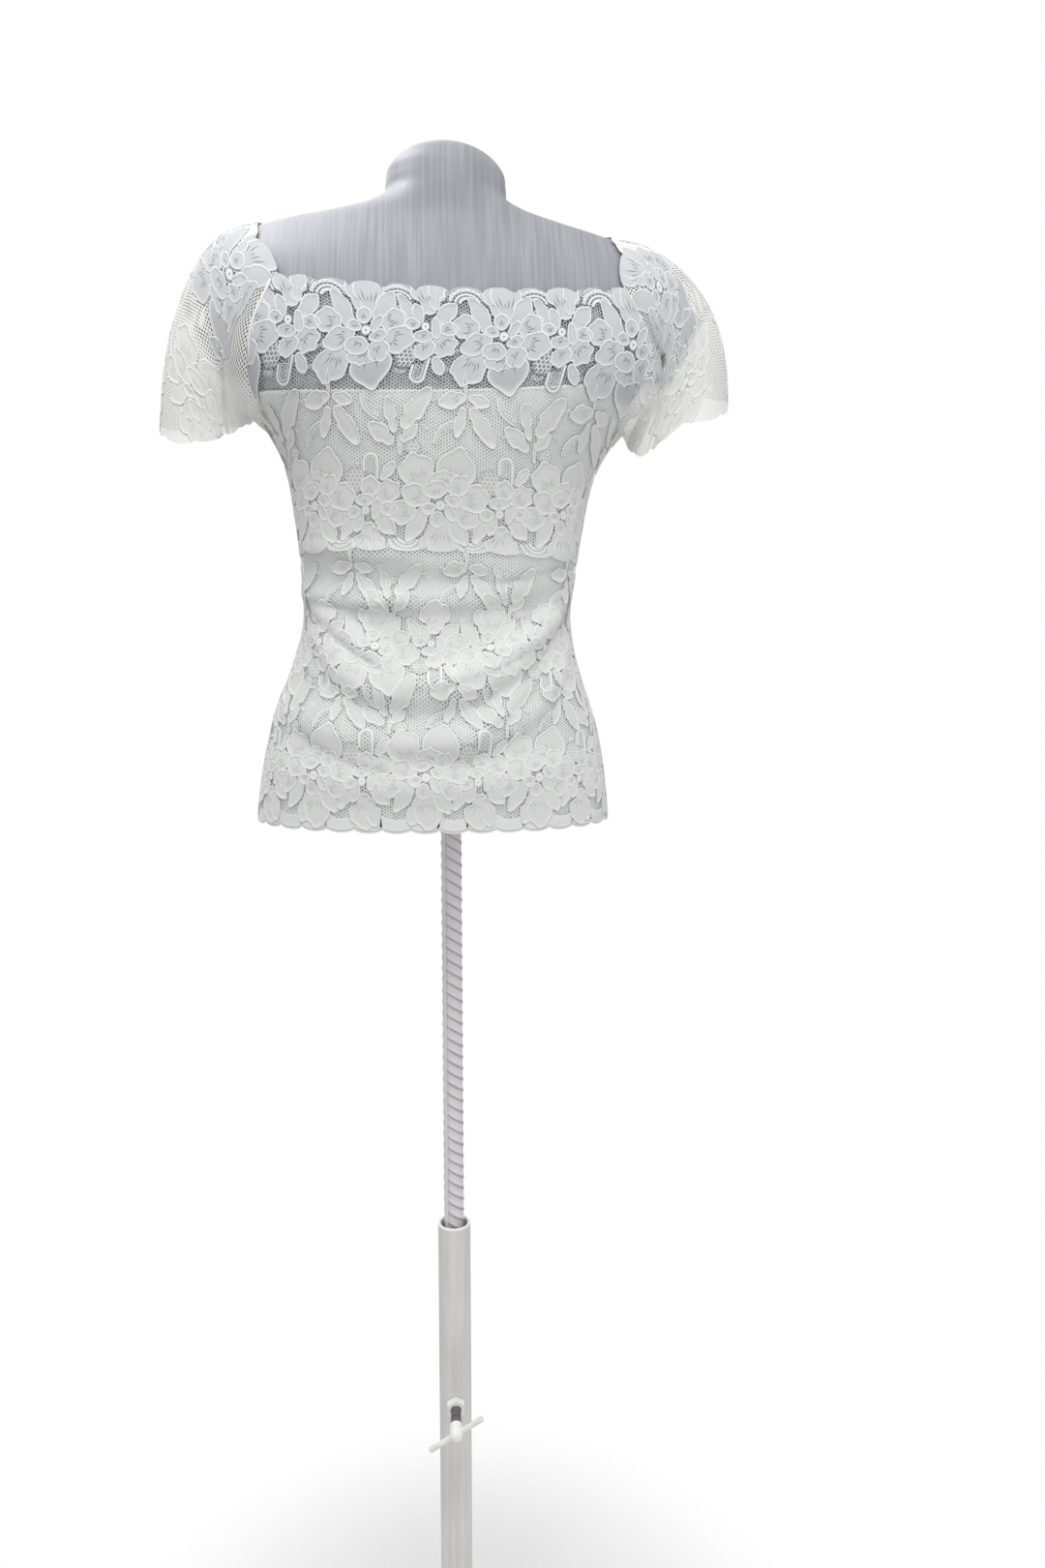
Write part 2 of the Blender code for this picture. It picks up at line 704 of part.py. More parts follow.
def make_screw(parent):
    """The clamp screw and the bar through its head; the parent lies on the screw's axis."""
    tip = rod_y() - ROD_RADIUS - SEAT_GAP
    length = tip - SCREW_HEAD_Y
    screw = add_object(
        "clamp_screw",
        cylinder(SCREW_RADIUS, length, SMALL_SEGMENTS),
        ZINC,
        parent,
        (0.0, (tip + SCREW_HEAD_Y) / 2, 0.0),
        (math.pi / 2, 0.0, 0.0),
    )
    lie = (0.0, math.pi / 2 - BAR_TURN, 0.0)
    hole = cylinder(BAR_RADIUS + BORE_CLEARANCE, 4 * SCREW_RADIUS, SMALL_SEGMENTS)
    add_cutter("bar_hole_cutter", hole, (0.0, BAR_Y, CLAMP_Z), lie, screw)
    bar = add_object(
        "clamp_bar", cylinder(BAR_RADIUS, BAR_LENGTH, SMALL_SEGMENTS), ZINC, parent, (0.0, BAR_Y, 0.0), lie
    )
    round_ends = bar.modifiers.new("round_ends", "BEVEL")
    round_ends.width = BAR_RADIUS * 0.35
    round_ends.segments = 2
    return screw


def make_rod(parent):
    """The ribbed steel rod: a round core with two ribs along it."""
    top = SECTIONS[0].z + SOCKET_DEPTH - 2 * SEAT_GAP
    steps = 24
    mesh = bmesh.new()
    rings = []
    for z in (ROD_BOTTOM_Z, top):
        ring = []
        for step in range(steps):
            turn = 2 * math.pi * step / steps + ROD_RIB_ANGLE
            radius = ROD_RADIUS + (ROD_RIB_HEIGHT if step % (steps // 2) == 0 else 0.0)
            ring.append((radius * math.cos(turn), radius * math.sin(turn), z))
        rings.append(ring)
    for ring in loft(mesh, rings):
        mesh.faces.new(ring)
    return add_object("support_rod", mesh, STEEL, parent, (0.0, rod_y(), 0.0))


def main():
    """Builds the stand, the form and the garment."""
    clear_scene()
    stand = add_empty("stand", (0.0, 0.0, 0.0), (0.0, 0.0, 0.0))
    make_base(stand)
    make_tube(stand)
    make_nut(stand)
    screw = add_empty("screw_axis", (0.0, 0.0, CLAMP_Z), (0.0, 0.0, 0.0), stand)
    make_screw(screw)
    lifted = add_empty("lifted", (0.0, 0.0, 0.0), (0.0, 0.0, 0.0), stand)
    make_rod(lifted)
    leaning = add_empty("leaning", LEAN_PIVOT, (0.0, LEAN, 0.0), lifted)
    upright = add_empty("upright", -LEAN_PIVOT, (0.0, 0.0, 0.0), leaning)
    make_form(upright)
    make_panels(upright)
    make_sleeves(upright)


main()
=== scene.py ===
"""Looks of a white lace off-the-shoulder top on a limbless silver dress form with its stand.

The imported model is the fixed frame. The cloth's surfaces follow the same body sections, folds and cut
edges as the solids, read finely. The lace's net is a thin sheet, and its flowers, leaves, cords and
borders are raised meshes laid on it. Places are in metres; the lace's charts are in millimetres.
"""

import logging
import math
from dataclasses import dataclass
from enum import Enum
from typing import Callable, Iterable, NamedTuple

import bmesh
import bpy
import numpy as np
from mathutils import Matrix, Vector

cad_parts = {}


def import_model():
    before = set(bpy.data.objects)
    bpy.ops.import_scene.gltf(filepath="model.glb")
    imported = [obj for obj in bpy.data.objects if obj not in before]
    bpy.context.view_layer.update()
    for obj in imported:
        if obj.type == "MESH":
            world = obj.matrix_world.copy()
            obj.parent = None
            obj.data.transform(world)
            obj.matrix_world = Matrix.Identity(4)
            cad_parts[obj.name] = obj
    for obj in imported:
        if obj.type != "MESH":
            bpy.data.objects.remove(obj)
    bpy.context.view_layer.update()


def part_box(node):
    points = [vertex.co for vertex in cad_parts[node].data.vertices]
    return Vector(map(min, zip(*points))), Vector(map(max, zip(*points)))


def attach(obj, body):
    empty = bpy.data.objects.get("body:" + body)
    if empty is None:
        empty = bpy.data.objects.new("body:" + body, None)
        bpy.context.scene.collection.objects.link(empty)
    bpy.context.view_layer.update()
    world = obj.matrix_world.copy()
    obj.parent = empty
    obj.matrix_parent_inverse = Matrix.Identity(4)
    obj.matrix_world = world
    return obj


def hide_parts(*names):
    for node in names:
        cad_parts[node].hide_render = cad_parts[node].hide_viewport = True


LOG = logging.getLogger("lace_top")
MM = 0.001

Pair = tuple[float, float]
Triple = tuple[float, float, float]
Surface = Callable[[np.ndarray, np.ndarray], np.ndarray]
Socket = bpy.types.NodeSocket
Inputs = dict[int | str, object]

# The lean of the form and of the cloth on its rod
LEAN = math.radians(1.5)
LEAN_PIVOT = Vector((0.0, 0.0, 1.560))

# Cloth layers, outwards from the form, and cutting levels
LINING_OFFSET = 0.0018
NET_OFFSET = 0.0039
HEM_Z = 0.9770
HEM_SKEW = 0.0040
LINING_HEM_Z = 0.9860
JOIN_Z = 1.2190
BAND_Z = 1.3460
UNDERARM_Z = 1.3320
NECK_Z = 1.4232
NECK_CORNER_RISE = 0.0118
NECK_SKEW = 0.0025
NECK_SCALLOP_DEPTH = 0.0065
HEM_SCALLOP_DEPTH = 0.0040
SCALLOP_PITCH = 0.0284
HEM_SCALLOP_PITCH = 0.0245


class Section(NamedTuple):
    """A level of the form: half width, depths to the back and front, and squareness of its corners."""

    z: float
    half_width: float
    back: float
    front: float
    corner: float


SECTIONS = (
    Section(0.982, 0.1620, 0.1060, 0.0930, 2.25),
    Section(1.020, 0.1570, 0.1040, 0.0930, 2.25),
    Section(1.065, 0.1480, 0.0950, 0.0910, 2.20),
    Section(1.106, 0.1335, 0.0820, 0.0880, 2.20),
    Section(1.142, 0.1230, 0.0720, 0.0860, 2.20),
    Section(1.174, 0.1200, 0.0690, 0.0860, 2.20),
    Section(1.210, 0.1240, 0.0740, 0.0890, 2.20),
    Section(1.250, 0.1295, 0.0840, 0.1000, 2.20),
    Section(1.284, 0.1355, 0.0920, 0.1140, 2.20),
    Section(1.310, 0.1450, 0.0960, 0.1190, 2.25),
    Section(1.335, 0.1610, 0.0980, 0.1140, 2.40),
    Section(1.358, 0.1830, 0.0980, 0.1050, 2.60),
    Section(1.382, 0.2010, 0.0965, 0.0950, 2.70),
    Section(1.410, 0.2100, 0.0930, 0.0840, 2.70),
    Section(1.438, 0.2125, 0.0860, 0.0730, 2.60),
    Section(1.462, 0.2100, 0.0770, 0.0620, 2.40),
    Section(1.480, 0.2020, 0.0670, 0.0530, 2.20),
    Section(1.493, 0.1850, 0.0590, 0.0470, 2.05),
    Section(1.503, 0.1580, 0.0540, 0.0440, 2.00),
    Section(1.511, 0.1220, 0.0520, 0.0430, 2.00),
    Section(1.520, 0.0840, 0.0510, 0.0430, 2.00),
    Section(1.532, 0.0580, 0.0500, 0.0430, 2.00),
    Section(1.546, 0.0542, 0.0475, 0.0420, 2.00),
    Section(1.557, 0.0525, 0.0445, 0.0390, 2.00),
    Section(1.5665, 0.0450, 0.0385, 0.0345, 2.00),
    Section(1.574, 0.0340, 0.0290, 0.0260, 2.00),
    Section(1.5795, 0.0200, 0.0170, 0.0150, 2.00),
)
NECK_TOP_Z = 1.582


class Armhole(NamedTuple):
    """A level of the armholes: how far the panels reach to the left and right, in half widths."""

    z: float
    left: float
    right: float


ARMHOLE = (
    Armhole(UNDERARM_Z, 1.000, 1.000),
    Armhole(1.3345, 0.986, 0.988),
    Armhole(1.3395, 0.960, 0.966),
    Armhole(1.346, 0.936, 0.943),
    Armhole(1.356, 0.905, 0.915),
    Armhole(1.370, 0.850, 0.893),
    Armhole(1.388, 0.795, 0.890),
    Armhole(1.410, 0.745, 0.852),
    Armhole(1.435, 0.660, 0.740),
    Armhole(1.460, 0.730, 0.745),
    Armhole(1.482, 0.825, 0.775),
    Armhole(1.494, 0.910, 0.830),
    Armhole(1.500, 1.000, 0.910),
    Armhole(1.505, 1.000, 1.000),
)


class Fold(NamedTuple):
    """A fold that sags across a panel: the heights of its ends and of its lowest place, and its spread."""

    left_z: float
    low_z: float
    low_at: float
    right_z: float
    height: float
    above: float
    below: float


BACK_FOLDS = (
    Fold(1.216, 1.207, 0.10, 1.234, 0.0030, 0.012, 0.010),
    Fold(1.181, 1.171, -0.30, 1.203, 0.0055, 0.013, 0.009),
    Fold(1.168, 1.088, -0.15, 1.188, 0.0110, 0.022, 0.011),
    Fold(1.078, 1.049, 0.00, 1.148, 0.0075, 0.018, 0.011),
    Fold(1.030, 1.012, -0.20, 1.050, 0.0030, 0.014, 0.012),
)
FRONT_FOLDS = (
    Fold(1.190, 1.168, 0.20, 1.180, 0.0045, 0.015, 0.012),
    Fold(1.150, 1.110, -0.10, 1.140, 0.0050, 0.018, 0.012),
    Fold(1.085, 1.062, 0.15, 1.092, 0.0030, 0.016, 0.014),
)


class Crease(NamedTuple):
    """A short crease between two places."""

    x: float
    z: float
    to_x: float
    to_z: float
    sag: float
    height: float
    spread: float


BACK_CREASES = (
    Crease(-0.128, 1.196, -0.040, 1.112, 0.006, 0.0062, 0.0070),
    Crease(0.116, 1.192, 0.052, 1.120, 0.008, 0.0058, 0.0065),
    Crease(0.058, 1.122, -0.030, 1.094, 0.005, 0.0040, 0.0065),
    Crease(-0.122, 1.181, -0.022, 1.172, 0.006, 0.0034, 0.0050),
    Crease(-0.126, 1.222, -0.020, 1.213, 0.004, 0.0028, 0.0055),
    Crease(0.120, 1.222, 0.040, 1.196, 0.004, 0.0030, 0.0055),
    Crease(0.088, 1.118, 0.012, 1.040, 0.006, 0.0042, 0.0075),
    Crease(-0.118, 1.062, -0.030, 1.030, 0.006, 0.0030, 0.0075),
)
FRONT_CREASES = (
    Crease(-0.118, 1.186, -0.048, 1.140, 0.006, 0.0040, 0.0070),
    Crease(0.118, 1.190, 0.040, 1.134, 0.006, 0.0040, 0.0070),
    Crease(0.105, 1.100, 0.020, 1.064, 0.005, 0.0030, 0.0070),
)
WAIST_EASE = 0.0050
WAIST_EASE_Z = 1.150
WAIST_EASE_SPREAD = 0.055
FOLD_FADE = 0.7


class Rib(NamedTuple):
    """How a sleeve's cloth leaves the seam and falls to the cuff.

    Columns count from the underarm, round the back, to the shoulder ridge.
    """

    column: float
    out: float
    back: float
    down: float
    rise: float


RIBS = (
    Rib(0, 0.003, 0.000, 0.002, 0.003),
    Rib(4, 0.012, 0.004, 0.010, 0.014),
    Rib(7, 0.030, 0.010, 0.011, 0.030),
    Rib(10, 0.044, 0.010, 0.010, 0.074),
    Rib(12, 0.050, 0.000, 0.005, 0.095),
)
SEAM_LEVELS = (UNDERARM_Z, 1.3345, 1.3395, BAND_Z, 1.366, 1.388, 1.410)
SEAM_COLUMNS = 7
SLEEVE_COLUMNS = 24
CUFF_HALF_Y = 0.060
CUFF_SEAM_TURN = math.radians(66.0)
CUFF_SCALLOPS = 12
CUFF_SCALLOP_DEPTH = 0.0040
SHOULDER_SCALLOPS = 5


def smooth_rows(table: np.ndarray, positions: np.ndarray) -> np.ndarray:
    """Reads a table's rows at fractional positions on a smooth curve.

    Args:
        table: the rows, one for each whole position.
        positions: where to read them.

    Returns:
        One row for each position.
    """
    last = len(table) - 1
    low = np.minimum(positions.astype(int), last - 1)
    share = (positions - low)[:, None]
    before, first, second, after = (table[np.clip(low + step, 0, last)] for step in (-1, 0, 1, 2))
    rise, fall = (second - before) / 2, (after - first) / 2
    cubic = 3 * (second - first) - 2 * rise - fall
    return first + rise * share + cubic * share**2 + (2 * (first - second) + rise + fall) * share**3


def scallop(place: np.ndarray) -> np.ndarray:
    """Height of a row of round scallops, one for each unit of place, from 0 at a cusp to 1 at a top."""
    within = np.mod(place, 1.0)
    return np.sqrt(np.maximum(0.0, 1.0 - (2.0 * within - 1.0) ** 2))


def swell(value: np.ndarray, middle: float, spread: float) -> np.ndarray:
    """A smooth bump of height one round a middle value."""
    return np.exp(-(((value - middle) / spread) ** 2))


def unit(vectors: np.ndarray) -> np.ndarray:
    """The same vectors at length one."""
    return vectors / np.maximum(np.linalg.norm(vectors, axis=-1, keepdims=True), 1e-12)


def heading(degrees: float) -> np.ndarray:
    """The direction at an angle from the x axis."""
    turn = math.radians(degrees)
    return np.array([math.cos(turn), math.sin(turn)])


def oval(middle: Pair, reach: Pair, steps: int) -> np.ndarray:
    """Points round an oval with its two half sizes."""
    turn = np.linspace(0.0, 2 * math.pi, steps, endpoint=False)
    return np.stack([middle[0] + reach[0] * np.cos(turn), middle[1] + reach[1] * np.sin(turn)], axis=1)


class Side(Enum):
    """The garment's back, which faces the camera, or its front."""

    BACK = "back"
    FRONT = "front"

    def skewed(self, skew: float) -> float:
        """A rise to the object's right, as this side's chart has it."""
        return skew if self is Side.BACK else -skew


BAND_TILT = {Side.BACK: (0.0104, 0.0144), Side.FRONT: (0.0, 0.0040)}


class Figure:
    """The dress form's surface and the cloth's drape over it, by angle and height.

    Angle 0 is at +X and the front is at a quarter turn.
    """

    NORMAL_STEP = 0.0015
    NORMAL_TURN = 0.0125
    FINE = 24
    CREASE_ABOVE = 1.9
    CREASE_BELOW = 0.8

    def __init__(self) -> None:
        """Reads the section table finely."""
        table = np.array(SECTIONS)
        last = len(table) - 1
        self.dense = smooth_rows(table, np.linspace(0, last, self.FINE * last + 1))
        self.lean = (
            Matrix.Translation(LEAN_PIVOT) @ Matrix.Rotation(LEAN, 4, "Y") @ Matrix.Translation(-LEAN_PIVOT)
        )

    def column(self, z: np.ndarray, name: str) -> np.ndarray:
        """One named column of the sections at some heights."""
        return np.interp(z, self.dense[:, 0], self.dense[:, Section._fields.index(name)])

    def bare(self, angle: np.ndarray, z: np.ndarray) -> np.ndarray:
        """Points of the form's surface.

        Args:
            angle: angles round the form.
            z: heights.

        Returns:
            The points, without the lean.
        """
        angle, z = np.broadcast_arrays(angle, z)
        power = 2.0 / self.column(z, "corner")
        across, along = np.cos(angle), np.sin(angle)
        depth = np.where(along > 0, self.column(z, "front"), self.column(z, "back"))
        x = self.column(z, "half_width") * np.sign(across) * np.abs(across) ** power
        y = depth * np.sign(along) * np.abs(along) ** power
        return np.stack([x, y, z], axis=-1)

    def normals(self, surface: Surface, angle: np.ndarray, z: np.ndarray) -> np.ndarray:
        """Outward normals of a surface given by angle and height.

        Args:
            surface: gives points at angles and heights.
            angle: angles round the form.
            z: heights.

        Returns:
            The normals.
        """
        step, turn = self.NORMAL_STEP, self.NORMAL_TURN
        around = surface(angle + turn, z) - surface(angle - turn, z)
        up = surface(angle, z + step) - surface(angle, z - step)
        return unit(np.cross(around, up))

    @staticmethod
    def fold_height(fold: Fold, across: np.ndarray, z: np.ndarray) -> np.ndarray:
        """How far one fold stands out, at a share of the half width and a height.

        Args:
            fold: the fold.
            across: places in half widths.
            z: heights.

        Returns:
            The distances.
        """
        low = fold.low_at
        left = (fold.left_z - fold.low_z) / (1 + low) ** 2
        right = (fold.right_z - fold.low_z) / (1 - low) ** 2
        ridge = fold.low_z + np.where(across < low, left, right) * (across - low) ** 2
        spread = np.where(z > ridge, fold.above, fold.below)
        return fold.height * swell(z, ridge, spread) * (1 - 0.75 * across**2)

    def crease_height(self, crease: Crease, x: np.ndarray, z: np.ndarray) -> np.ndarray:
        """How far one crease stands out: a narrow ridge that sags between its ends and is sharper below.

        Args:
            crease: the crease.
            x: places across.
            z: heights.

        Returns:
            The distances.
        """
        span = np.array([crease.to_x - crease.x, crease.to_z - crease.z])
        length = float(np.hypot(*span))
        way = span / length
        along = ((x - crease.x) * way[0] + (z - crease.z) * way[1]) / length
        aside = (z - crease.z) * abs(way[0]) - (x - crease.x) * way[1] * np.sign(way[0])
        aside = aside + crease.sag * 4 * along * (1 - along)
        spread = crease.spread * np.where(aside > 0, self.CREASE_ABOVE, self.CREASE_BELOW)
        faded = np.clip(np.minimum(along, 1 - along) / 0.32 + 0.35, 0.0, 1.0)
        return crease.height * swell(aside, 0.0, spread) * faded**2 * (3 - 2 * faded)

    def looseness(self, angle: np.ndarray, z: np.ndarray) -> np.ndarray:
        """How far the cloth stands off the form.

        Args:
            angle: angles round the form.
            z: heights.

        Returns:
            The distances.
        """
        facing, across = np.abs(np.sin(angle)), np.cos(angle)
        x = self.bare(angle, z)[..., 0]
        back, front = (
            sum(self.fold_height(fold, across, z) for fold in folds)
            + sum(self.crease_height(crease, x, z) for crease in creases)
            for folds, creases in ((BACK_FOLDS, BACK_CREASES), (FRONT_FOLDS, FRONT_CREASES))
        )
        ease = WAIST_EASE * swell(z, WAIST_EASE_Z, WAIST_EASE_SPREAD)
        return ease * facing**2 + np.where(np.sin(angle) < 0, back, front) * facing**FOLD_FADE

    def draped(self, angle: np.ndarray, z: np.ndarray) -> np.ndarray:
        """The surface on which the cloth's layers are built, without the lean."""
        out = self.normals(self.bare, angle, z)
        return self.bare(angle, z) + out * self.looseness(angle, z)[..., None]

    def leaned(self, points: np.ndarray) -> np.ndarray:
        """Points moved by the lean on the rod."""
        matrix = np.array(self.lean)
        return points @ matrix[:3, :3].T + matrix[:3, 3]

    def turned(self, vectors: np.ndarray) -> np.ndarray:
        """Directions turned by the lean on the rod."""
        return vectors @ np.array(self.lean)[:3, :3].T

    def side_angle(self, z: np.ndarray, right: bool) -> np.ndarray:
        """Angle from a side seam to a panel's edge: zero below the underarm, more along the armhole.

        Args:
            z: heights.
            right: whether the seam is the object's right one.

        Returns:
            The angles.
        """
        levels, left_reach, right_reach = np.array(ARMHOLE).T
        reach = np.interp(z, levels, right_reach if right else left_reach)
        lift = np.arccos(np.minimum(1.0, reach) ** (self.column(z, "corner") / 2.0))
        return np.where(z <= UNDERARM_Z, 0.0, lift)


class ClothSurface:
    """A cloth's surface as a fine grid of points and normals, read at fractional rows and columns."""

    PAST = 12.0

    def __init__(self, points: np.ndarray, normals: np.ndarray) -> None:
        """Keeps the grid; rows come first."""
        self.points = points
        self.normals = normals

    def read(self, column: np.ndarray, row: np.ndarray, lift: np.ndarray) -> np.ndarray:
        """Points over the grid.

        Args:
            column: fractional columns.
            row: fractional rows, which may run a little past the ends.
            lift: distances along the normals.

        Returns:
            The points, leaned with the form.
        """
        rows, columns = self.points.shape[:2]
        low_row = np.clip(np.floor(row).astype(int), 0, rows - 2)
        low_column = np.clip(np.floor(column).astype(int), 0, columns - 2)
        down = np.clip(row - low_row, -self.PAST, 1.0 + self.PAST)[..., None]
        over = np.clip(column - low_column, 0.0, 1.0)[..., None]
        mixed = []
        for grid in (self.points, self.normals):
            first = grid[low_row, low_column] * (1 - over) + grid[low_row, low_column + 1] * over
            second = grid[low_row + 1, low_column] * (1 - over) + grid[low_row + 1, low_column + 1] * over
            mixed.append(first * (1 - down) + second * down)
        return mixed[0] + unit(mixed[1]) * np.asarray(lift)[..., None]

    def place(self, x: np.ndarray, y: np.ndarray, lift: np.ndarray) -> np.ndarray:
        """Points at chart places in metres. Each kind of cloth has its own chart."""
        raise NotImplementedError


class PanelSurface(ClothSurface):
    """A front or back panel. Its chart's x runs right from the middle, y is the height above the floor."""

    LEVEL_STEP = 0.0015
    COLUMNS = 180
    TRACED = 241

    def __init__(self, figure: Figure, side: Side, low: float, high: float) -> None:
        """Reads the draped form between two heights.

        Args:
            figure: the form.
            side: the garment's back or front.
            low: the lowest height.
            high: the highest height.
        """
        self.side = side
        self.levels = np.arange(low, high + self.LEVEL_STEP, self.LEVEL_STEP)
        turn = math.pi if side is Side.BACK else 0.0
        first = figure.side_angle(self.levels, side is Side.FRONT)
        last = figure.side_angle(self.levels, side is Side.BACK)
        shares = np.linspace(0.0, 1.0, self.COLUMNS + 1)
        angles, widths = [], []
        for z, start, end in zip(self.levels, first, last):
            fine = np.linspace(turn + start, turn + math.pi - end, self.TRACED)
            steps = np.linalg.norm(np.diff(figure.bare(fine, np.full_like(fine, z)), axis=0), axis=1)
            run = np.concatenate(([0.0], np.cumsum(steps)))
            angles.append(np.interp(shares * run[-1], run, fine))
            widths.append(run[-1])
        self.widths = np.array(widths)
        angle, z = np.array(angles), np.repeat(self.levels[:, None], self.COLUMNS + 1, axis=1)
        normals = figure.normals(figure.draped, angle, z)
        super().__init__(figure.leaned(figure.draped(angle, z)), figure.turned(normals))

    def width(self, z: np.ndarray) -> np.ndarray:
        """The panel's width along the cloth."""
        return np.interp(z, self.levels, self.widths)

    def place(self, x: np.ndarray, y: np.ndarray, lift: np.ndarray) -> np.ndarray:
        """Points at chart places."""
        share = 0.5 + x / self.width(y)
        return self.read(share * self.COLUMNS, (y - self.levels[0]) / self.LEVEL_STEP, lift)


class Tailoring(NamedTuple):
    """One sleeve's cut: its ridge, how far it spreads, and its cuff's place, half width and heights."""

    right: bool
    ridge_z: float
    spread: float
    centre_x: float
    half_x: float
    levels: tuple[float, ...]


LEFT_SLEEVE = Tailoring(
    False, 1.5000, 1.05, 0.2110, 0.0415, (1.340, 1.319, 1.304, 1.311, 1.328, 1.334, 1.341, 1.344)
)
RIGHT_SLEEVE = Tailoring(
    True, 1.5050, 1.27, 0.2150, 0.0510, (1.343, 1.313, 1.337, 1.350, 1.373, 1.386, 1.384, 1.360)
)


class SleeveSurface(ClothSurface):
    """A sleeve. Its chart's x runs right from the shoulder ridge, y is minus the way down from the edge."""

    FINE = 8
    AROUND = SLEEVE_COLUMNS * FINE
    ROWS = 64
    SOFTEN = 5
    LOFT_ROWS = 161
    TUCK = 0.0021
    TUCK_SLOPE = 0.25
    TUCK_REACH = 0.022
    TUCK_COLUMNS = 4.0
    TUCK_BLEND = 1.4

    def __init__(self, figure: Figure, tailoring: Tailoring) -> None:
        """Lofts the sleeve from its seam and shoulder edge to the cuff.

        Args:
            figure: the form.
            tailoring: the sleeve's cut.
        """
        self.tailoring = tailoring
        self.sign = 1.0 if tailoring.right else -1.0
        columns = np.linspace(0.0, SLEEVE_COLUMNS, self.AROUND + 1)
        edge = self.edge(figure, columns)
        end = self.cuff(columns)
        out, back, down, rise = self.ribs(columns)
        leave = edge + np.stack([self.sign * out * tailoring.spread, -back, -down], axis=-1)
        arrive = end + np.stack([0 * rise, 0 * rise, rise], axis=-1)
        share = np.linspace(0.0, 1.0, self.LOFT_ROWS)[:, None, None]
        rest = 1 - share
        grid = edge * rest**3 + leave * 3 * rest**2 * share + arrive * 3 * rest * share**2 + end * share**3
        grid = self.softened(grid)
        runs = np.cumsum(np.linalg.norm(np.diff(grid, axis=0), axis=2), axis=0)
        runs = np.vstack([np.zeros((1, runs.shape[1])), runs])
        self.lengths = runs[-1]
        even = np.linspace(0.0, 1.0, self.ROWS + 1)
        points = np.empty((self.ROWS + 1, len(columns), 3))
        for column in range(len(columns)):
            for axis in range(3):
                points[:, column, axis] = np.interp(
                    even * runs[-1, column], runs[:, column], grid[:, column, axis]
                )
        around = np.roll(points[:, :-1], -1, axis=1) - np.roll(points[:, :-1], 1, axis=1)
        around = np.concatenate([around, around[:, :1]], axis=1)
        normals = unit(np.cross(np.gradient(points, axis=0), around)) * self.sign
        self.girth = float(np.linalg.norm(np.diff(points[self.ROWS // 2], axis=0), axis=1).sum())
        super().__init__(figure.leaned(points), figure.turned(normals))

    def edge(self, figure: Figure, columns: np.ndarray) -> np.ndarray:
        """The inner edge: up the back seam from the underarm, over the shoulder, down the front seam.

        Args:
            figure: the form.
            columns: columns round the sleeve.

        Returns:
            The edge's points.
        """
        corner = NECK_Z + NECK_CORNER_RISE + NECK_SKEW * self.sign
        half = SLEEVE_COLUMNS / 2
        place = np.minimum(columns, SLEEVE_COLUMNS - columns)
        seam_z = np.interp(place, range(SEAM_COLUMNS + 1), (*SEAM_LEVELS, corner))
        turn = np.clip((place - SEAM_COLUMNS) / (half - SEAM_COLUMNS), 0.0, 1.0) * math.pi / 2
        over = corner + (self.tailoring.ridge_z - corner) * np.sin(turn)
        z = np.where(place <= SEAM_COLUMNS, seam_z, over)
        lift = figure.side_angle(z, self.tailoring.right)
        angle = np.where(columns <= half, -lift, lift)
        if not self.tailoring.right:
            angle = math.pi - angle
        return figure.draped(angle, z)

    def cuff(self, columns: np.ndarray) -> np.ndarray:
        """The cuff's loop, drawn in by the cloth's offset, which the lift adds again.

        Args:
            columns: columns round the sleeve.

        Returns:
            The cuff's points.
        """
        full = 2 * math.pi
        keys = (0, SEAM_COLUMNS, SLEEVE_COLUMNS / 2, SLEEVE_COLUMNS - SEAM_COLUMNS, SLEEVE_COLUMNS)
        turn = np.interp(columns, keys, (0.0, CUFF_SEAM_TURN, math.pi, full - CUFF_SEAM_TURN, full))
        levels = self.tailoring.levels
        ring = np.array([*levels, levels[0]])[:, None]
        z = smooth_rows(ring, turn / full * len(levels))[:, 0]
        half_x = self.tailoring.half_x - NET_OFFSET
        x = self.sign * (self.tailoring.centre_x - half_x * np.cos(turn))
        return np.stack([x, -(CUFF_HALF_Y - NET_OFFSET) * np.sin(turn), z], axis=-1)

    @staticmethod
    def ribs(columns: np.ndarray) -> tuple[np.ndarray, ...]:
        """The rib values at the columns; the front mirrors the back.

        Args:
            columns: columns round the sleeve.

        Returns:
            The ways out, back and down at the edge, and up at the cuff.
        """
        half = SLEEVE_COLUMNS / 2
        place = np.minimum(columns, SLEEVE_COLUMNS - columns)
        table = np.array(RIBS)
        out, back, down, rise = (np.interp(place, table[:, 0], values) for values in table[:, 1:].T)
        return out, np.where(columns <= half, back, -back), down, rise

    def softened(self, grid: np.ndarray) -> np.ndarray:
        """Evens the loft out round the sleeve, away from its seam and cuff.

        Args:
            grid: the lofted points.

        Returns:
            The evened points.
        """
        weight = np.sin(np.linspace(0.0, math.pi, len(grid)))[:, None, None] ** 0.5
        for _ in range(self.SOFTEN * self.FINE):
            body = grid[:, :-1]
            even = (np.roll(body, 1, axis=1) + np.roll(body, -1, axis=1)) / 2
            even = np.concatenate([even, even[:, :1]], axis=1)
            grid = grid + (even - grid) * 0.5 * weight
        return grid

    def column(self, x: np.ndarray) -> np.ndarray:
        """The grid's columns at chart places across."""
        turned = x if self.tailoring.right else -x
        return np.mod(self.AROUND / 2 + turned / self.girth * self.AROUND, self.AROUND)

    def length(self, x: np.ndarray) -> np.ndarray:
        """The way from the edge to the cuff at chart places across."""
        return np.interp(self.column(x), np.arange(len(self.lengths)), self.lengths)

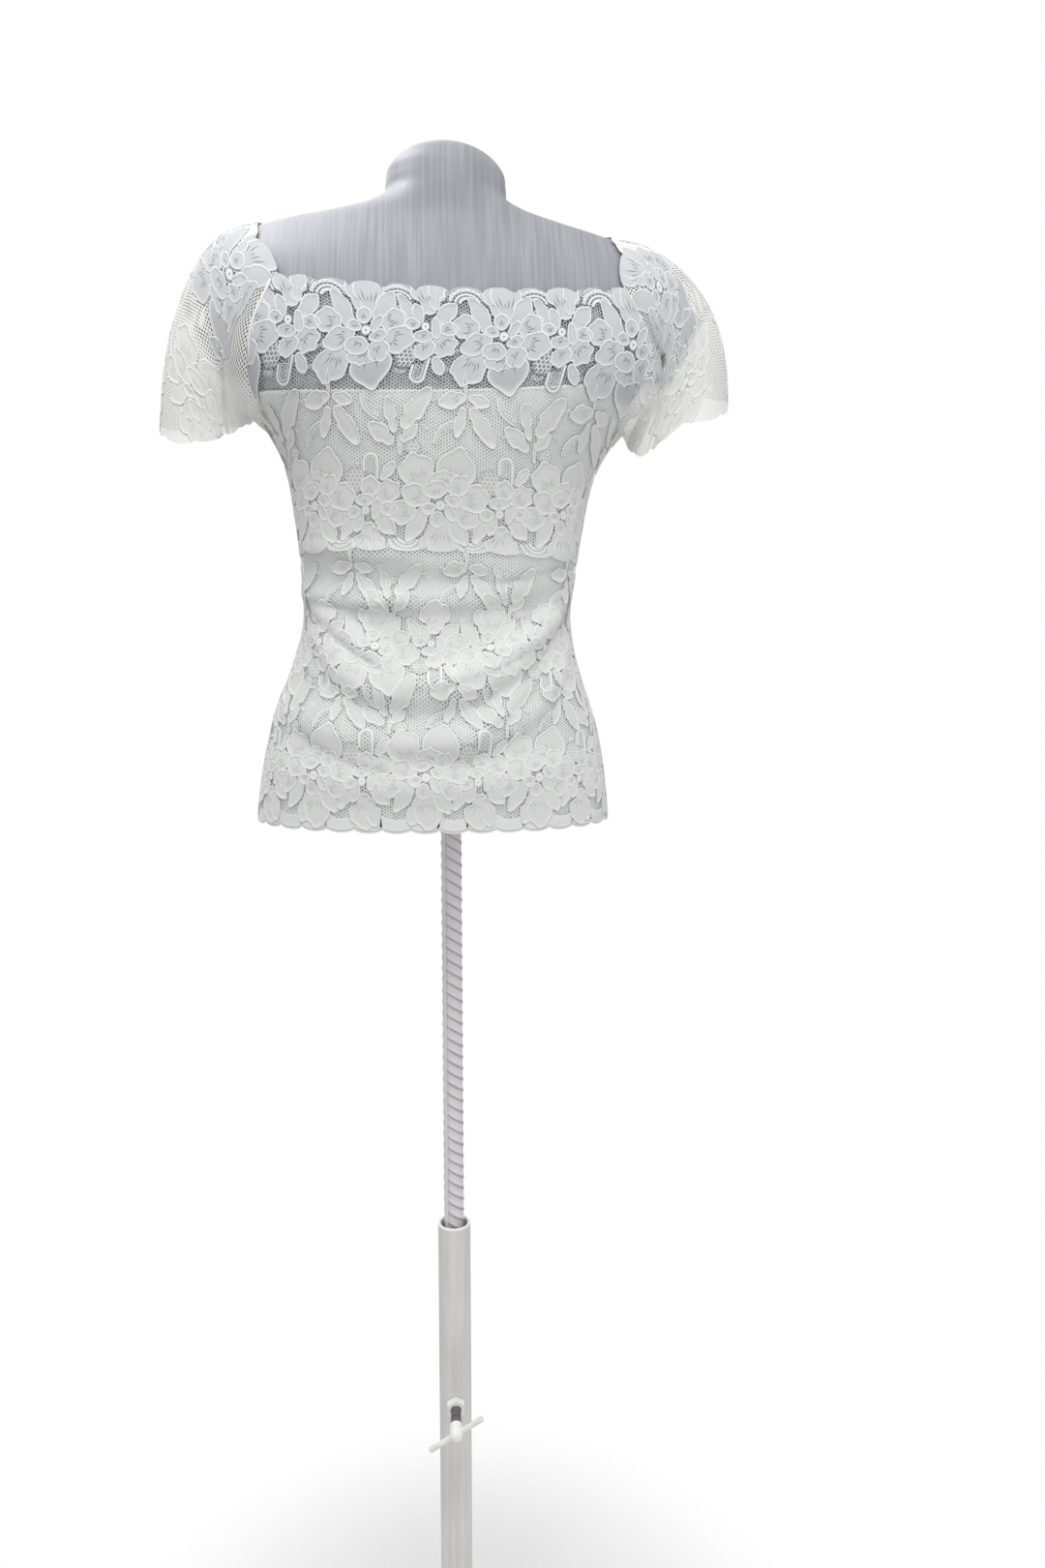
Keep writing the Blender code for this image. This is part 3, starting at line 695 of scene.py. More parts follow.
    def place(self, x: np.ndarray, y: np.ndarray, lift: np.ndarray) -> np.ndarray:
        """Points at chart places. On the shoulder ridge the edge comes down to the form.

        Args:
            x: places across.
            y: minus the way down from the edge.
            lift: distances along the normals.

        Returns:
            The points.
        """
        column = self.column(x)
        beside = np.abs(column / self.FINE - SLEEVE_COLUMNS / 2) / self.TUCK_COLUMNS
        near = np.clip(1 + y / self.TUCK_REACH, 0.0, 1.0) * np.clip(self.TUCK_BLEND * (1 - beside), 0.0, 1.0)
        tuck = (self.TUCK - self.TUCK_SLOPE * np.maximum(y, 0.0)) * near
        return self.read(column, -y / self.length(x) * self.ROWS, lift - tuck)


# Charts of the lace's motifs, in millimetres


@dataclass(frozen=True)
class Petal:
    """One petal or leaf, raised and edged with a cord.

    x and y are its middle and turn its tip's direction in degrees; length and width are half sizes;
    point draws the tip out, taper narrows the base, and lobes and ripple wave the outline.
    """

    x: float
    y: float
    turn: float
    length: float
    width: float
    point: float = 0.0
    taper: float = 0.15
    lobes: int = 0
    ripple: float = 0.0

    @property
    def middle(self) -> np.ndarray:
        """The middle's place."""
        return np.array([self.x, self.y])

    def radius(self, angle: np.ndarray) -> np.ndarray:
        """Distance from the middle to the outline, at angles from the tip.

        Args:
            angle: the angles.

        Returns:
            The distances.
        """
        reach = self.length * self.width / np.hypot(self.width * np.cos(angle), self.length * np.sin(angle))
        wrapped = np.mod(angle + math.pi, 2 * math.pi) - math.pi
        tip = 1 + self.point * swell(wrapped, 0.0, 0.30)
        ruffle = 0.0
        if self.point < 0.2 and self.width > 5.0:
            outer = 0.5 + 0.5 * np.cos(wrapped)
            ruffle = outer * (0.045 * np.cos(6.5 * wrapped) + 0.030 * np.cos(11 * wrapped + self.turn))
        base = 1 - self.taper * swell(np.abs(wrapped), math.pi * 0.72, 0.45)
        return reach * tip * base * (1 + self.ripple * np.cos(self.lobes * angle) + ruffle)

    def covers(self, points: np.ndarray, margin: float) -> np.ndarray:
        """Whether the petal, or the margin round it, lies over each point.

        Args:
            points: places in the motif's chart.
            margin: how far round the petal counts as covered.

        Returns:
            True where it does.
        """
        away = points - self.middle
        angle = np.arctan2(away[:, 1], away[:, 0]) - math.radians(self.turn)
        return np.hypot(away[:, 0], away[:, 1]) < self.radius(angle) + margin


@dataclass(frozen=True)
class Loop:
    """A hanging loop of doubled cord: its middle, its half width, and its bottom and two upper ends."""

    x: float
    half: float
    low: float
    left: float
    right: float


@dataclass(frozen=True)
class Feather:
    """A doubled cord along an arc, with short ribs on its inner side."""

    x: float
    y: float
    radius: float
    start: float
    end: float
    ribs: int
    rib_length: float = 3.4


@dataclass(frozen=True)
class Mesh:
    """A patch of coarse six-sided net."""

    x: float
    y: float
    half_width: float
    half_height: float
    cell: float = 3.7


@dataclass(frozen=True)
class Ladder:
    """A row of dark openings between two cords."""

    x: float
    y: float
    to_x: float
    to_y: float
    width: float = 1.5


@dataclass(frozen=True)
class Motif:
    """Petals from the lowest to the topmost, the rings of flower centres, and cords and nets."""

    petals: tuple[Petal, ...] = ()
    rings: tuple[Triple, ...] = ()
    loops: tuple[Loop, ...] = ()
    feathers: tuple[Feather, ...] = ()
    meshes: tuple[Mesh, ...] = ()
    ladders: tuple[Ladder, ...] = ()
    beads: tuple[Pair, ...] = ()


LARGE_FLOWER = Motif(
    petals=(
        Petal(-9.5, 29.0, 104, 14.7, 7.1, 0.0, 0.35),
        Petal(2.5, 28.5, 86, 18.6, 14.1, 0.0, 0.38, 3, 0.03),
        Petal(-19.0, 14.5, 119, 16.4, 7.3, 0.12),
        Petal(14.0, 19.5, 56, 14.1, 7.8, 0.08, 0.2),
        Petal(22.0, 9.0, 32, 11.3, 9.6, 0.0, 0.15, 5, 0.04),
        Petal(-31.0, 6.5, 168, 11.9, 10.3, 0.0, 0.15, 5, 0.05),
        Petal(-20.0, -26.0, -108, 14.7, 15.0, 0.0, 0.1, 5, 0.06),
        Petal(12.6, -27.0, -78, 15.8, 17.1, 0.30, 0.1),
        Petal(-20.5, -7.0, 204, 12.4, 10.0, 0.0, 0.15, 4, 0.04),
        Petal(28.0, -6.0, -8, 13.0, 11.9, 0.0, 0.1, 5, 0.05),
        Petal(3.5, -21.0, -88, 6.8, 12.5, 0.0, 0.0, 4, 0.09),
        Petal(15.0, -15.5, -48, 10.2, 8.7, 0.0, 0.1, 5, 0.05),
        Petal(-4.0, -12.2, -104, 7.5, 11.2, 0.0, 0.1),
        Petal(-9.6, 3.2, 158, 6.3, 5.2),
        Petal(-2.4, 11.6, 94, 7.0, 6.8, 0.0, 0.1),
        Petal(8.2, 5.8, 58, 7.9, 4.6, 0.1),
        Petal(10.6, -4.0, 14, 7.5, 5.9),
    ),
    rings=((0.0, 0.0, 3.6),),
)
SMALL_FLOWER = Motif(
    petals=(
        Petal(2.6, 26.0, 90, 17.4, 15.5, 0.0, 0.42, 3, 0.03),
        Petal(9.4, 27.0, 78, 14.6, 7.3, 0.0, 0.35),
        Petal(-15.0, 12.0, 116, 13.4, 5.7, 0.15),
        Petal(-6.5, 9.5, 106, 9.0, 5.5),
        Petal(16.4, 11.0, 44, 11.2, 7.3, 0.08),
        Petal(19.0, -1.6, 2, 8.3, 6.6, 0.0, 0.1, 4, 0.05),
        Petal(18.6, -14.4, -38, 11.2, 9.6, 0.0, 0.1, 7, 0.07),
        Petal(3.6, -18.0, -80, 9.2, 8.9, 0.05),
        Petal(-10.8, 1.6, 172, 6.7, 5.5),
        Petal(9.0, -0.8, -78, 9.0, 4.6, 0.05),
        Petal(-0.8, -8.2, -92, 5.4, 8.9, 0.0, 0.05),
        Petal(18.6, -31.0, -52, 9.0, 4.8, 0.1),
    ),
    rings=((0.0, 0.0, 3.2),),
    loops=(Loop(4.2, 5.8, -45.0, -31.0, -25.0),),
    meshes=(Mesh(-9.6, -24.0, 8.4, 9.4),),
    ladders=(Ladder(-24.0, 16.0, -17.0, 3.0), Ladder(-18.5, 1.0, -10.5, -10.0)),
    beads=((-14.0, -36.0), (-10.8, -37.2), (-7.6, -36.6), (27.6, -20.0), (30.4, -18.6), (26.6, -34.0)),
)
SPRIG_DOWN = Motif(
    petals=(
        Petal(-1.8, 4.5, 98, 8.4, 1.8, 0.24),
        Petal(-10.8, -7.4, 196, 10.8, 7.8, 0.24, 0.25),
        Petal(9.6, -7.4, -18, 8.7, 5.9, 0.24, 0.25),
        Petal(-4.0, -24.0, -104, 11.6, 5.1, 0.24, 0.3),
        Petal(13.0, -26.0, -56, 16.8, 7.6, 0.24, 0.3, 3, 0.06),
    ),
    feathers=(
        Feather(48.0, -2.0, 23.0, 184, 254, 11),
        Feather(-6.0, -44.0, 20.0, 96, 176, 12),
    ),
    beads=((30.5, -33.0), (33.6, -34.0), (36.7, -34.4), (-21.5, -8.0), (-24.2, -7.2)),
)
SPRIG_UP = Motif(
    petals=(
        Petal(0.0, 4.0, 90, 9.0, 1.8, 0.24),
        Petal(-15.0, 13.0, 142, 12.3, 7.6, 0.24, 0.3),
        Petal(6.8, 13.4, 48, 8.7, 5.7, 0.24, 0.3),
        Petal(-8.0, 27.0, 104, 13.9, 5.1, 0.24, 0.35),
        Petal(10.6, 31.0, 57, 17.9, 8.9, 0.24, 0.35, 3, 0.07),
    ),
    beads=((21.0, 18.6), (18.2, 19.8), (25.6, 41.0), (28.6, 41.4)),
    meshes=(Mesh(9.5, 3.5, 6.8, 4.6),),
)


@dataclass(frozen=True)
class Row:
    """A motif that repeats across a cloth: its chart, a first place, the repeat, its way up and its size."""

    motif: Motif
    x: float
    y: float
    repeat: float
    inverted: bool = False
    size: float = 1.0


@dataclass(frozen=True)
class Spot:
    """Where one motif lies: its origin, its size across, and its size up, negative where it is inverted."""

    x: float
    y: float
    across: float = 1.0
    up: float = 1.0

    def chart(self, points: np.ndarray) -> np.ndarray:
        """A motif's points moved to the cloth's chart."""
        return points * (self.across, self.up) + (self.x, self.y)


@dataclass
class LacePiece:
    """A piece of lace: its name and the surface of its cloth."""

    name: str
    cloth: ClothSurface

    def bend(self, x: np.ndarray, y: np.ndarray) -> tuple[np.ndarray, np.ndarray]:
        """Chart places, moved where the motifs follow an edge."""
        return x, y

    def limits(self, x: np.ndarray, y: np.ndarray) -> tuple[np.ndarray, ...]:
        """The left, right, low and high limits of raised work at chart places."""
        raise NotImplementedError


class Relief:
    """Raised lace work gathered as points of a chart, with heights, tones and faces.

    Sizes and heights are in millimetres, and tones run from 0, dark, to 1, light.
    """

    CORD_WIDTH = 0.95
    CORD_HEIGHT = 0.55
    COVERED = 0.09
    SHADE = 0.45
    # Inset, height and tone of the rings by a petal's outline; the two dark rings, just outside and on the
    # outline, are a painted shadow round the petal
    RIM = ((-SHADE, 0.12, 0.08), (0.0, 0.12, 0.14), (0.12, 0.50, 1.0), (0.95, 0.52, 1.0), (1.30, 0.24, 0.62))
    FILL = 0.60
    LEAF_FILL = 0.46
    LEAF_POINT = 0.2
    OUTLINE_STEP = 1.75
    DENSE_STEP = 3.0
    SLIT_TURN = 13.0
    MESH_REACH = 8
    CLEAR = 0.00005

    def __init__(self) -> None:
        """Starts with no work."""
        self.places: list[np.ndarray] = []
        self.heights: list[np.ndarray] = []
        self.tones: list[np.ndarray] = []
        self.faces: list[tuple[int, ...]] = []
        self.count = 0

    def add(
        self, spot: Spot, points: np.ndarray, heights: np.ndarray, tones: np.ndarray,
        faces: Iterable[tuple[int, ...]],
    ) -> None:
        """Adds one mesh of the work.

        Args:
            spot: where its motif lies.
            points: places in the motif's own chart.
            heights: how far the points stand off the net.
            tones: how dense the work is at each.
            faces: rows of point numbers, counter-clockwise from outside.
        """
        turned = spot.across * spot.up < 0
        self.faces += [
            tuple(self.count + index for index in (reversed(face) if turned else face)) for face in faces
        ]
        self.places.append(spot.chart(points))
        self.heights.append(heights)
        self.tones.append(tones)
        self.count += len(points)

    def petal(self, spot: Spot, petal: Petal, above: tuple[Petal, ...]) -> None:
        """A petal with a cord round it, a painted shadow ring round its outline, a softly raised middle and
        a few slits by its base.

        Args:
            spot: where its motif lies.
            petal: the petal.
            above: the petals that lie over it.
        """
        around = 2 * math.pi * math.hypot(petal.length, petal.width) / math.sqrt(2)
        count = int(np.clip(round(around / self.OUTLINE_STEP), 14, 44))
        angle = np.linspace(0.0, 2 * math.pi, count, endpoint=False)
        outline = petal.radius(angle)
        inner = np.maximum(outline - self.RIM[-1][0], outline * 0.25)
        depth = max(1, round(float(inner.mean()) / self.DENSE_STEP))
        least = outline * 0.3
        rings = [(np.maximum(outline - inset, least), height, tone) for inset, height, tone in self.RIM]
        fill = self.LEAF_FILL if petal.point > self.LEAF_POINT else self.FILL
        for step in range(1, depth):
            share = 1 - step / depth
            rings.append((inner * share, 0.24 + 0.20 * (1 - share**2), fill))
        direction = angle + math.radians(petal.turn)
        ways = np.stack([np.cos(direction), np.sin(direction)], axis=1)
        points = [ways * radius[:, None] for radius, _, _ in rings] + [np.zeros((1, 2))]
        heights = np.concatenate([np.repeat([height for _, height, _ in rings], count), [0.44]])
        tones = np.concatenate([np.repeat([tone for _, _, tone in rings], count), [fill]])
        flat = np.concatenate(points) + (petal.x, petal.y)
        faces = grid_faces(len(rings), count, closed=True)
        faces += fan_faces((len(rings) - 1) * count, count, len(rings) * count)
        for other in above:
            heights = np.where(other.covers(flat, self.SHADE), self.COVERED, heights)
        self.add(spot, flat, heights, tones, faces)
        if petal.length > 1.45 * petal.width and petal.width > 3.0:
            self.vein(spot, petal, above)
        elif petal.width >= 4.2:
            self.slits(spot, petal, above)

    def vein(self, spot: Spot, petal: Petal, above: tuple[Petal, ...]) -> None:
        """A leaf's middle cord, where nothing lies over it.

        Args:
            spot: where its motif lies.
            petal: the leaf.
            above: the petals that lie over it.
        """
        line = petal.middle + heading(petal.turn) * petal.length * np.array([[-0.85], [-0.2], [0.5]])
        if not any(other.covers(line, 0.0).any() for other in above):
            self.cord(spot, line, width=0.8, height=0.62)

    def slits(self, spot: Spot, petal: Petal, above: tuple[Petal, ...]) -> None:
        """Short slits that fan out from a petal's base: openings whose darkness is painted shade.

        Args:
            spot: where its motif lies.
            petal: the petal.
            above: the petals that lie over it.
        """
        count = int(np.clip(round(petal.width / 2.1), 2, 6))
        base = petal.middle - heading(petal.turn) * petal.length * 0.8
        for number in range(count):
            aside = number - (count - 1) / 2
            way = heading(petal.turn + aside * self.SLIT_TURN)
            across = np.array([-way[1], way[0]])
            start = petal.length * (0.42 + 0.05 * (number % 2))
            end = petal.length * (0.92 + 0.20 * ((number * 2) % 3 - 1))
            middle = base + way * (start + end) / 2
            if any(other.covers(middle[None], 0.0)[0] for other in above):
                continue
            bend = across * aside * 0.3
            sides = (middle + across * 0.42 + bend, middle - across * 0.42 + bend)
            line = np.array([base + way * start, sides[0], base + way * end, sides[1]])
            # Tone 0: each slit is painted dark as the shade in its opening.
            self.add(spot, line, np.array([0.47, 0.52, 0.45, 0.52]), np.zeros(4), [(3, 2, 1, 0)])

    def strip(
        self, spot: Spot, line: np.ndarray, width: float, heights: tuple[float, ...], tone: float,
        closed: bool = False,
    ) -> None:
        """A strip along a line.

        Args:
            spot: where its motif lies.
            line: chart points of its middle.
            width: its width.
            heights: the heights of its rows, from its right edge to its left.
            tone: its tone.
            closed: whether its ends meet.
        """
        if closed:
            along = np.roll(line, -1, axis=0) - np.roll(line, 1, axis=0)
        else:
            along = np.gradient(line, axis=0)
        along = unit(along)
        side = np.stack([-along[:, 1], along[:, 0]], axis=1) * width / 2
        rows, count = len(heights), len(line)
        points = np.concatenate([line + side * share for share in np.linspace(-1.0, 1.0, rows)])
        faces = grid_faces(rows, count, closed)
        self.add(spot, points, np.repeat(heights, count), np.full(rows * count, tone), faces)

    def band(self, spot: Spot, line: np.ndarray, width: float, height: float, tone: float) -> None:
        """A flat band along a line of chart points."""
        self.strip(spot, line, width, (height, height), tone)

    def cord(
        self, spot: Spot, line: np.ndarray, closed: bool = False, width: float = CORD_WIDTH,
        height: float = CORD_HEIGHT, tone: float = 1.0, shadow_reach: float = 0.0,
    ) -> None:
        """A raised cord along a line, over a painted shadow to either side where it has one.

        Args:
            spot: where its motif lies.
            line: chart points of its middle.
            closed: whether its ends meet.
            width: its width.
            height: its height.
            tone: its tone.
            shadow_reach: how far the painted shadow reaches to either side.
        """
        if shadow_reach:
            # The dark band under the cord is a painted shadow to either side of it.
            self.band(spot, line, width + 2 * shadow_reach, 0.04, 0.12)
        self.strip(spot, line, width, (0.0, height, 0.0), tone, closed)

    def circle(self, spot: Spot, middle: Pair, radius: float, steps: int = 10, width: float = 0.7) -> None:
        """A round cord."""
        self.cord(spot, oval(middle, (radius, radius), steps), closed=True, width=width)

    def disc(
        self, spot: Spot, middle: Pair, reach: Pair, height: float, tone: float, steps: int = 12
    ) -> None:
        """A small flat disc or oval.

        Args:
            spot: where its motif lies.
            middle: its middle on the chart.
            reach: half its width and half its height.
            height: how far it stands out.
            tone: its tone.
            steps: number of points round it.
        """
        points = np.concatenate([oval(middle, reach, steps), [middle]])
        heights, tones = np.full(steps + 1, height), np.full(steps + 1, tone)
        self.add(spot, points, heights, tones, fan_faces(0, steps, steps))

    def heart(self, spot: Spot, x: float, y: float, radius: float) -> None:
        """A flower's middle: a dark gap, a disc with a cord round it and a small dark eye.

        Args:
            spot: where its motif lies.
            x: its place across.
            y: its place up.
            radius: the disc's radius.
        """
        for reach, height, tone in ((radius + 1.3, 0.50, 0.10), (radius, 0.58, 0.95), (0.75, 0.66, 0.05)):
            self.disc(spot, (x, y), (reach, reach), height, tone)
        self.circle(spot, (x, y), radius - 0.2, 14, 0.9)

    def loop(self, spot: Spot, loop: Loop) -> None:
        """A hanging loop of doubled cord with fine bars across it.

        Args:
            spot: where its motif lies.
            loop: the loop.
        """
        bend = loop.low + loop.half
        turn = np.linspace(math.pi, 2 * math.pi, 11)
        left = np.linspace(loop.left, bend, 5)[:-1]
        right = np.linspace(bend, loop.right, 6)[1:]
        # The outer cord has a painted shadow to either side.
        for half, width, shadow_reach in ((loop.half, 2.1, 0.45), (loop.half - 2.3, 0.7, 0.0)):
            across = np.concatenate([np.full(4, -half), half * np.cos(turn), np.full(5, half)])
            rise = np.concatenate([left, bend + half * np.sin(turn), right])
            self.cord(spot, np.stack([loop.x + across, rise], axis=1), width=width, shadow_reach=shadow_reach)
        reach = loop.half - 2.1
        for rise in np.arange(loop.low + 3.4, loop.left, 1.5):
            bar = np.array([(loop.x - reach, rise), (loop.x + reach, rise)])
            self.cord(spot, bar, width=0.4, height=0.2)

    def feather(self, spot: Spot, feather: Feather) -> None:
        """A doubled cord along an arc, with short ribs inside.

        Args:
            spot: where its motif lies.
            feather: the feather.
        """
        turn = np.radians(np.linspace(feather.start, feather.end, 2 * feather.ribs + 1))
        ways = np.stack([np.cos(turn), np.sin(turn)], axis=1)
        middle = (feather.x, feather.y)
        # Both cords have a painted shadow to either side.
        for radius, width, shadow_reach in ((feather.radius, 1.5, 0.5), (feather.radius - 2.1, 0.9, 0.35)):
            self.cord(spot, ways * radius + middle, width=width, shadow_reach=shadow_reach)
        root = feather.radius - 1.8
        for way in ways[1::2]:
            rib = np.array([way * root, way * (root - feather.rib_length)])
            self.cord(spot, rib + middle, width=0.8, height=0.35)

    def ladder(self, spot: Spot, ladder: Ladder) -> None:
        """A row of dark openings between two cords, with rungs.

        Args:
            spot: where its motif lies.
            ladder: the ladder.
        """
        ends = np.array([(ladder.x, ladder.y), (ladder.to_x, ladder.to_y)])
        length = float(np.linalg.norm(ends[1] - ends[0]))
        way = (ends[1] - ends[0]) / length
        across = np.array([-way[1], way[0]]) * ladder.width / 2
        line = ends[0] + way * np.linspace(0.0, length, 6)[:, None]
        self.band(spot, line, ladder.width, 0.04, 0.0)
        for side in (across, -across):
            self.cord(spot, line + side * 1.3, width=0.7, height=0.35)
        for step in np.arange(1.1, length, 2.1):
            middle = ends[0] + way * step
            self.cord(spot, np.array([middle + across, middle - across]), width=0.6, height=0.25)

    def mesh(self, spot: Spot, mesh: Mesh) -> None:
        """A patch of six-sided net within an oval, over a dark ground.

        Args:
            spot: where its motif lies.
            mesh: the patch.
        """
        ground = (mesh.half_width + 0.6, mesh.half_height + 0.6)
        self.disc(spot, (mesh.x, mesh.y), ground, 0.02, 0.14, 20)
        reach = mesh.cell / math.sqrt(3)
        turn = np.radians([0.0, 60.0, 120.0, 180.0])
        cell = np.stack([np.sin(turn), np.cos(turn)], axis=1) * reach
        numbers = range(-self.MESH_REACH, self.MESH_REACH + 1)
        for row in numbers:
            for column in numbers:
                x, y = (column + 0.5 * (row % 2)) * mesh.cell, row * reach * 1.5
                if (x / mesh.half_width) ** 2 + (y / mesh.half_height) ** 2 <= 1:
                    self.cord(spot, cell + (mesh.x + x, mesh.y + y), width=0.95, height=0.32)

    def motif(self, spot: Spot, motif: Motif) -> None:
        """A whole motif.

        Args:
            spot: where it lies.
            motif: the motif.
        """
        for number, petal in enumerate(motif.petals):
            self.petal(spot, petal, motif.petals[number + 1:])
        for x, y, radius in motif.rings:
            self.heart(spot, x, y, radius)
        for add, parts in (
            (self.loop, motif.loops),
            (self.feather, motif.feathers),
            (self.mesh, motif.meshes),
            (self.ladder, motif.ladders),
        ):
            for part in parts:
                add(spot, part)
        for bead in motif.beads:
            self.circle(spot, bead, 1.25, 8)

    def mounted(self, piece: LacePiece) -> bpy.types.Object:
        """Lays the work on a piece of lace.

        Args:
            piece: the piece it lies on.

        Returns:
            The raised work as one object.
        """
        chart = np.concatenate(self.places) * MM
        x, y = piece.bend(chart[:, 0], chart[:, 1])
        left, right, low, high = piece.limits(x, y)
        kept = (x >= left) & (x <= right) & (y >= low) & (y <= high)
        x, y = np.clip(x, left, right), np.clip(y, low, high)
        points = piece.cloth.place(x, y, NET_OFFSET + self.CLEAR + np.concatenate(self.heights) * MM)
        faces = [face for face in self.faces if any(kept[index] for index in face)]
        made = mesh_object(f"{piece.name}_work", points, faces)
        add_tone(made, np.concatenate(self.tones))
        add_uv(made, np.stack([x, y], axis=1))
        tidy_mesh(made)
        return made


def linked(name: str, data: bpy.types.ID) -> bpy.types.Object:
    """A new object in the scene.

    Args:
        name: its name.
        data: its mesh, light or camera.

    Returns:
        The object, at the origin.
    """
    made = bpy.data.objects.new(name, data)
    bpy.context.scene.collection.objects.link(made)
    return made


def mesh_object(name: str, points: np.ndarray, faces: Iterable[tuple[int, ...]]) -> bpy.types.Object:
    """A new smooth mesh object at the origin.

    Args:
        name: the object's name.
        points: its points in metres.
        faces: rows of point numbers.

    Returns:
        The linked object.
    """
    data = bpy.data.meshes.new(name)
    data.from_pydata(np.asarray(points, float).tolist(), [], list(faces))
    data.update()
    data.shade_smooth()
    return linked(name, data)


def cloth_sheet(
    name: str, cloth: ClothSurface, x: np.ndarray, y: np.ndarray, lift: np.ndarray,
    shown_y: np.ndarray | None = None, closed: bool = False,
) -> bpy.types.Object:
    """A thin sheet over a grid of chart places.

    Args:
        name: the object's name.
        cloth: the surface it lies on.
        x: places across.
        y: places up, row by row.
        lift: distances off the surface.
        shown_y: places up for the UV map, where they differ.
        closed: whether its sides meet.

    Returns:
        The linked object.
    """
    made = mesh_object(name, cloth.place(x, y, lift).reshape(-1, 3), grid_faces(*y.shape, closed))
    shown = y if shown_y is None else shown_y
    add_uv(made, np.stack([x.ravel(), shown.ravel()], axis=1))
    return made


def tidy_mesh(thing: bpy.types.Object) -> None:
    """Removes faces without area and loose points.

    Args:
        thing: the mesh object.
    """
    mesh = bmesh.new()
    mesh.from_mesh(thing.data)
    flat = [face for face in mesh.faces if face.calc_area() < 1e-10]
    bmesh.ops.delete(mesh, geom=flat, context="FACES")
    loose = [vertex for vertex in mesh.verts if not vertex.link_faces]
    bmesh.ops.delete(mesh, geom=loose, context="VERTS")
    mesh.to_mesh(thing.data)
    mesh.free()
    thing.data.shade_smooth()


def add_uv(thing: bpy.types.Object, places: np.ndarray) -> None:
    """A UV map in centimetres of cloth.

    Args:
        thing: the mesh object.
        places: a place for each of its points, in metres.
    """
    layer = thing.data.uv_layers.new(name="cloth")
    loops = np.zeros(len(thing.data.loops), int)
    thing.data.loops.foreach_get("vertex_index", loops)
    layer.data.foreach_set("uv", (places[loops] * 100.0).astype(np.float32).ravel())


def add_tone(thing: bpy.types.Object, tones: np.ndarray) -> None:
    """A tone for each point, from 0, dark, to 1, light."""
    layer = thing.data.attributes.new("tone", "FLOAT", "POINT")
    layer.data.foreach_set("value", tones.astype(np.float32))


def drawn_out(name: str, profile: tuple[Pair, ...], axis: Vector, sides: int) -> bpy.types.Object:
    """Draws a round face out along the y axis, ring by ring, into a closed piece.

    Args:
        name: the new piece's name.
        profile: the rings' places along y and their radii, from the back to the front.
        axis: a point on the piece's own axis.
        sides: how many sides each ring has.

    Returns:
        The piece, with its place in its mesh.
    """
    place, radius = profile[0]
    bpy.ops.object.select_all(action="DESELECT")
    bpy.ops.mesh.primitive_circle_add(
        vertices=sides, radius=radius, fill_type="NGON", location=(axis.x, place, axis.z),
        rotation=(math.pi / 2, 0.0, 0.0),
    )
    made = bpy.context.active_object
    made.name = name
    bpy.ops.object.transform_apply(location=True, rotation=True, scale=True)
    bpy.ops.object.mode_set(mode="EDIT")
    bpy.ops.mesh.select_all(action="SELECT")
    for following, wider in profile[1:]:
        bpy.ops.mesh.extrude_region_move(TRANSFORM_OT_translate={"value": (0.0, following - place, 0.0)})
        scale = wider / radius
        bpy.ops.transform.resize(value=(scale, 1.0, scale), center_override=(axis.x, following, axis.z))
        place, radius = following, wider
    bpy.ops.mesh.select_all(action="SELECT")
    bpy.ops.mesh.normals_make_consistent(inside=False)
    bpy.ops.object.mode_set(mode="OBJECT")
    bpy.ops.object.shade_smooth_by_angle(angle=math.radians(40.0))
    return made


def grid_faces(rows: int, columns: int, closed: bool = False) -> list[tuple[int, ...]]:
    """Faces between the points of a grid that is stored row by row, upwards and to the right.

    Args:
        rows: how many rows it has.
        columns: how many points a row has.
        closed: whether the rows' ends meet.

    Returns:
        The faces.
    """
    faces = []
    for row in range(rows - 1):
        for column in range(columns if closed else columns - 1):
            following = (column + 1) % columns
            low, high = row * columns, (row + 1) * columns
            faces.append((low + column, low + following, high + following, high + column))
    return faces


def fan_faces(first: int, count: int, tip: int) -> list[tuple[int, ...]]:
    """Faces from a closed ring of points, which starts at the first, to a tip."""
    return [(first + step, first + (step + 1) % count, tip) for step in range(count)]


def closed_faces(rings: int, sides: int) -> list[tuple[int, ...]]:
    """Faces of a closed body: rings of points, upwards, then its tip and its foot."""
    faces = grid_faces(rings, sides, closed=True) + fan_faces((rings - 1) * sides, sides, rings * sides)
    return faces + [face[::-1] for face in fan_faces(0, sides, rings * sides + 1)]


# Finishes


class Ramp(Enum):
    """How a map between limits runs."""

    SMOOTH = "SMOOTHSTEP"
    STRAIGHT = "LINEAR"


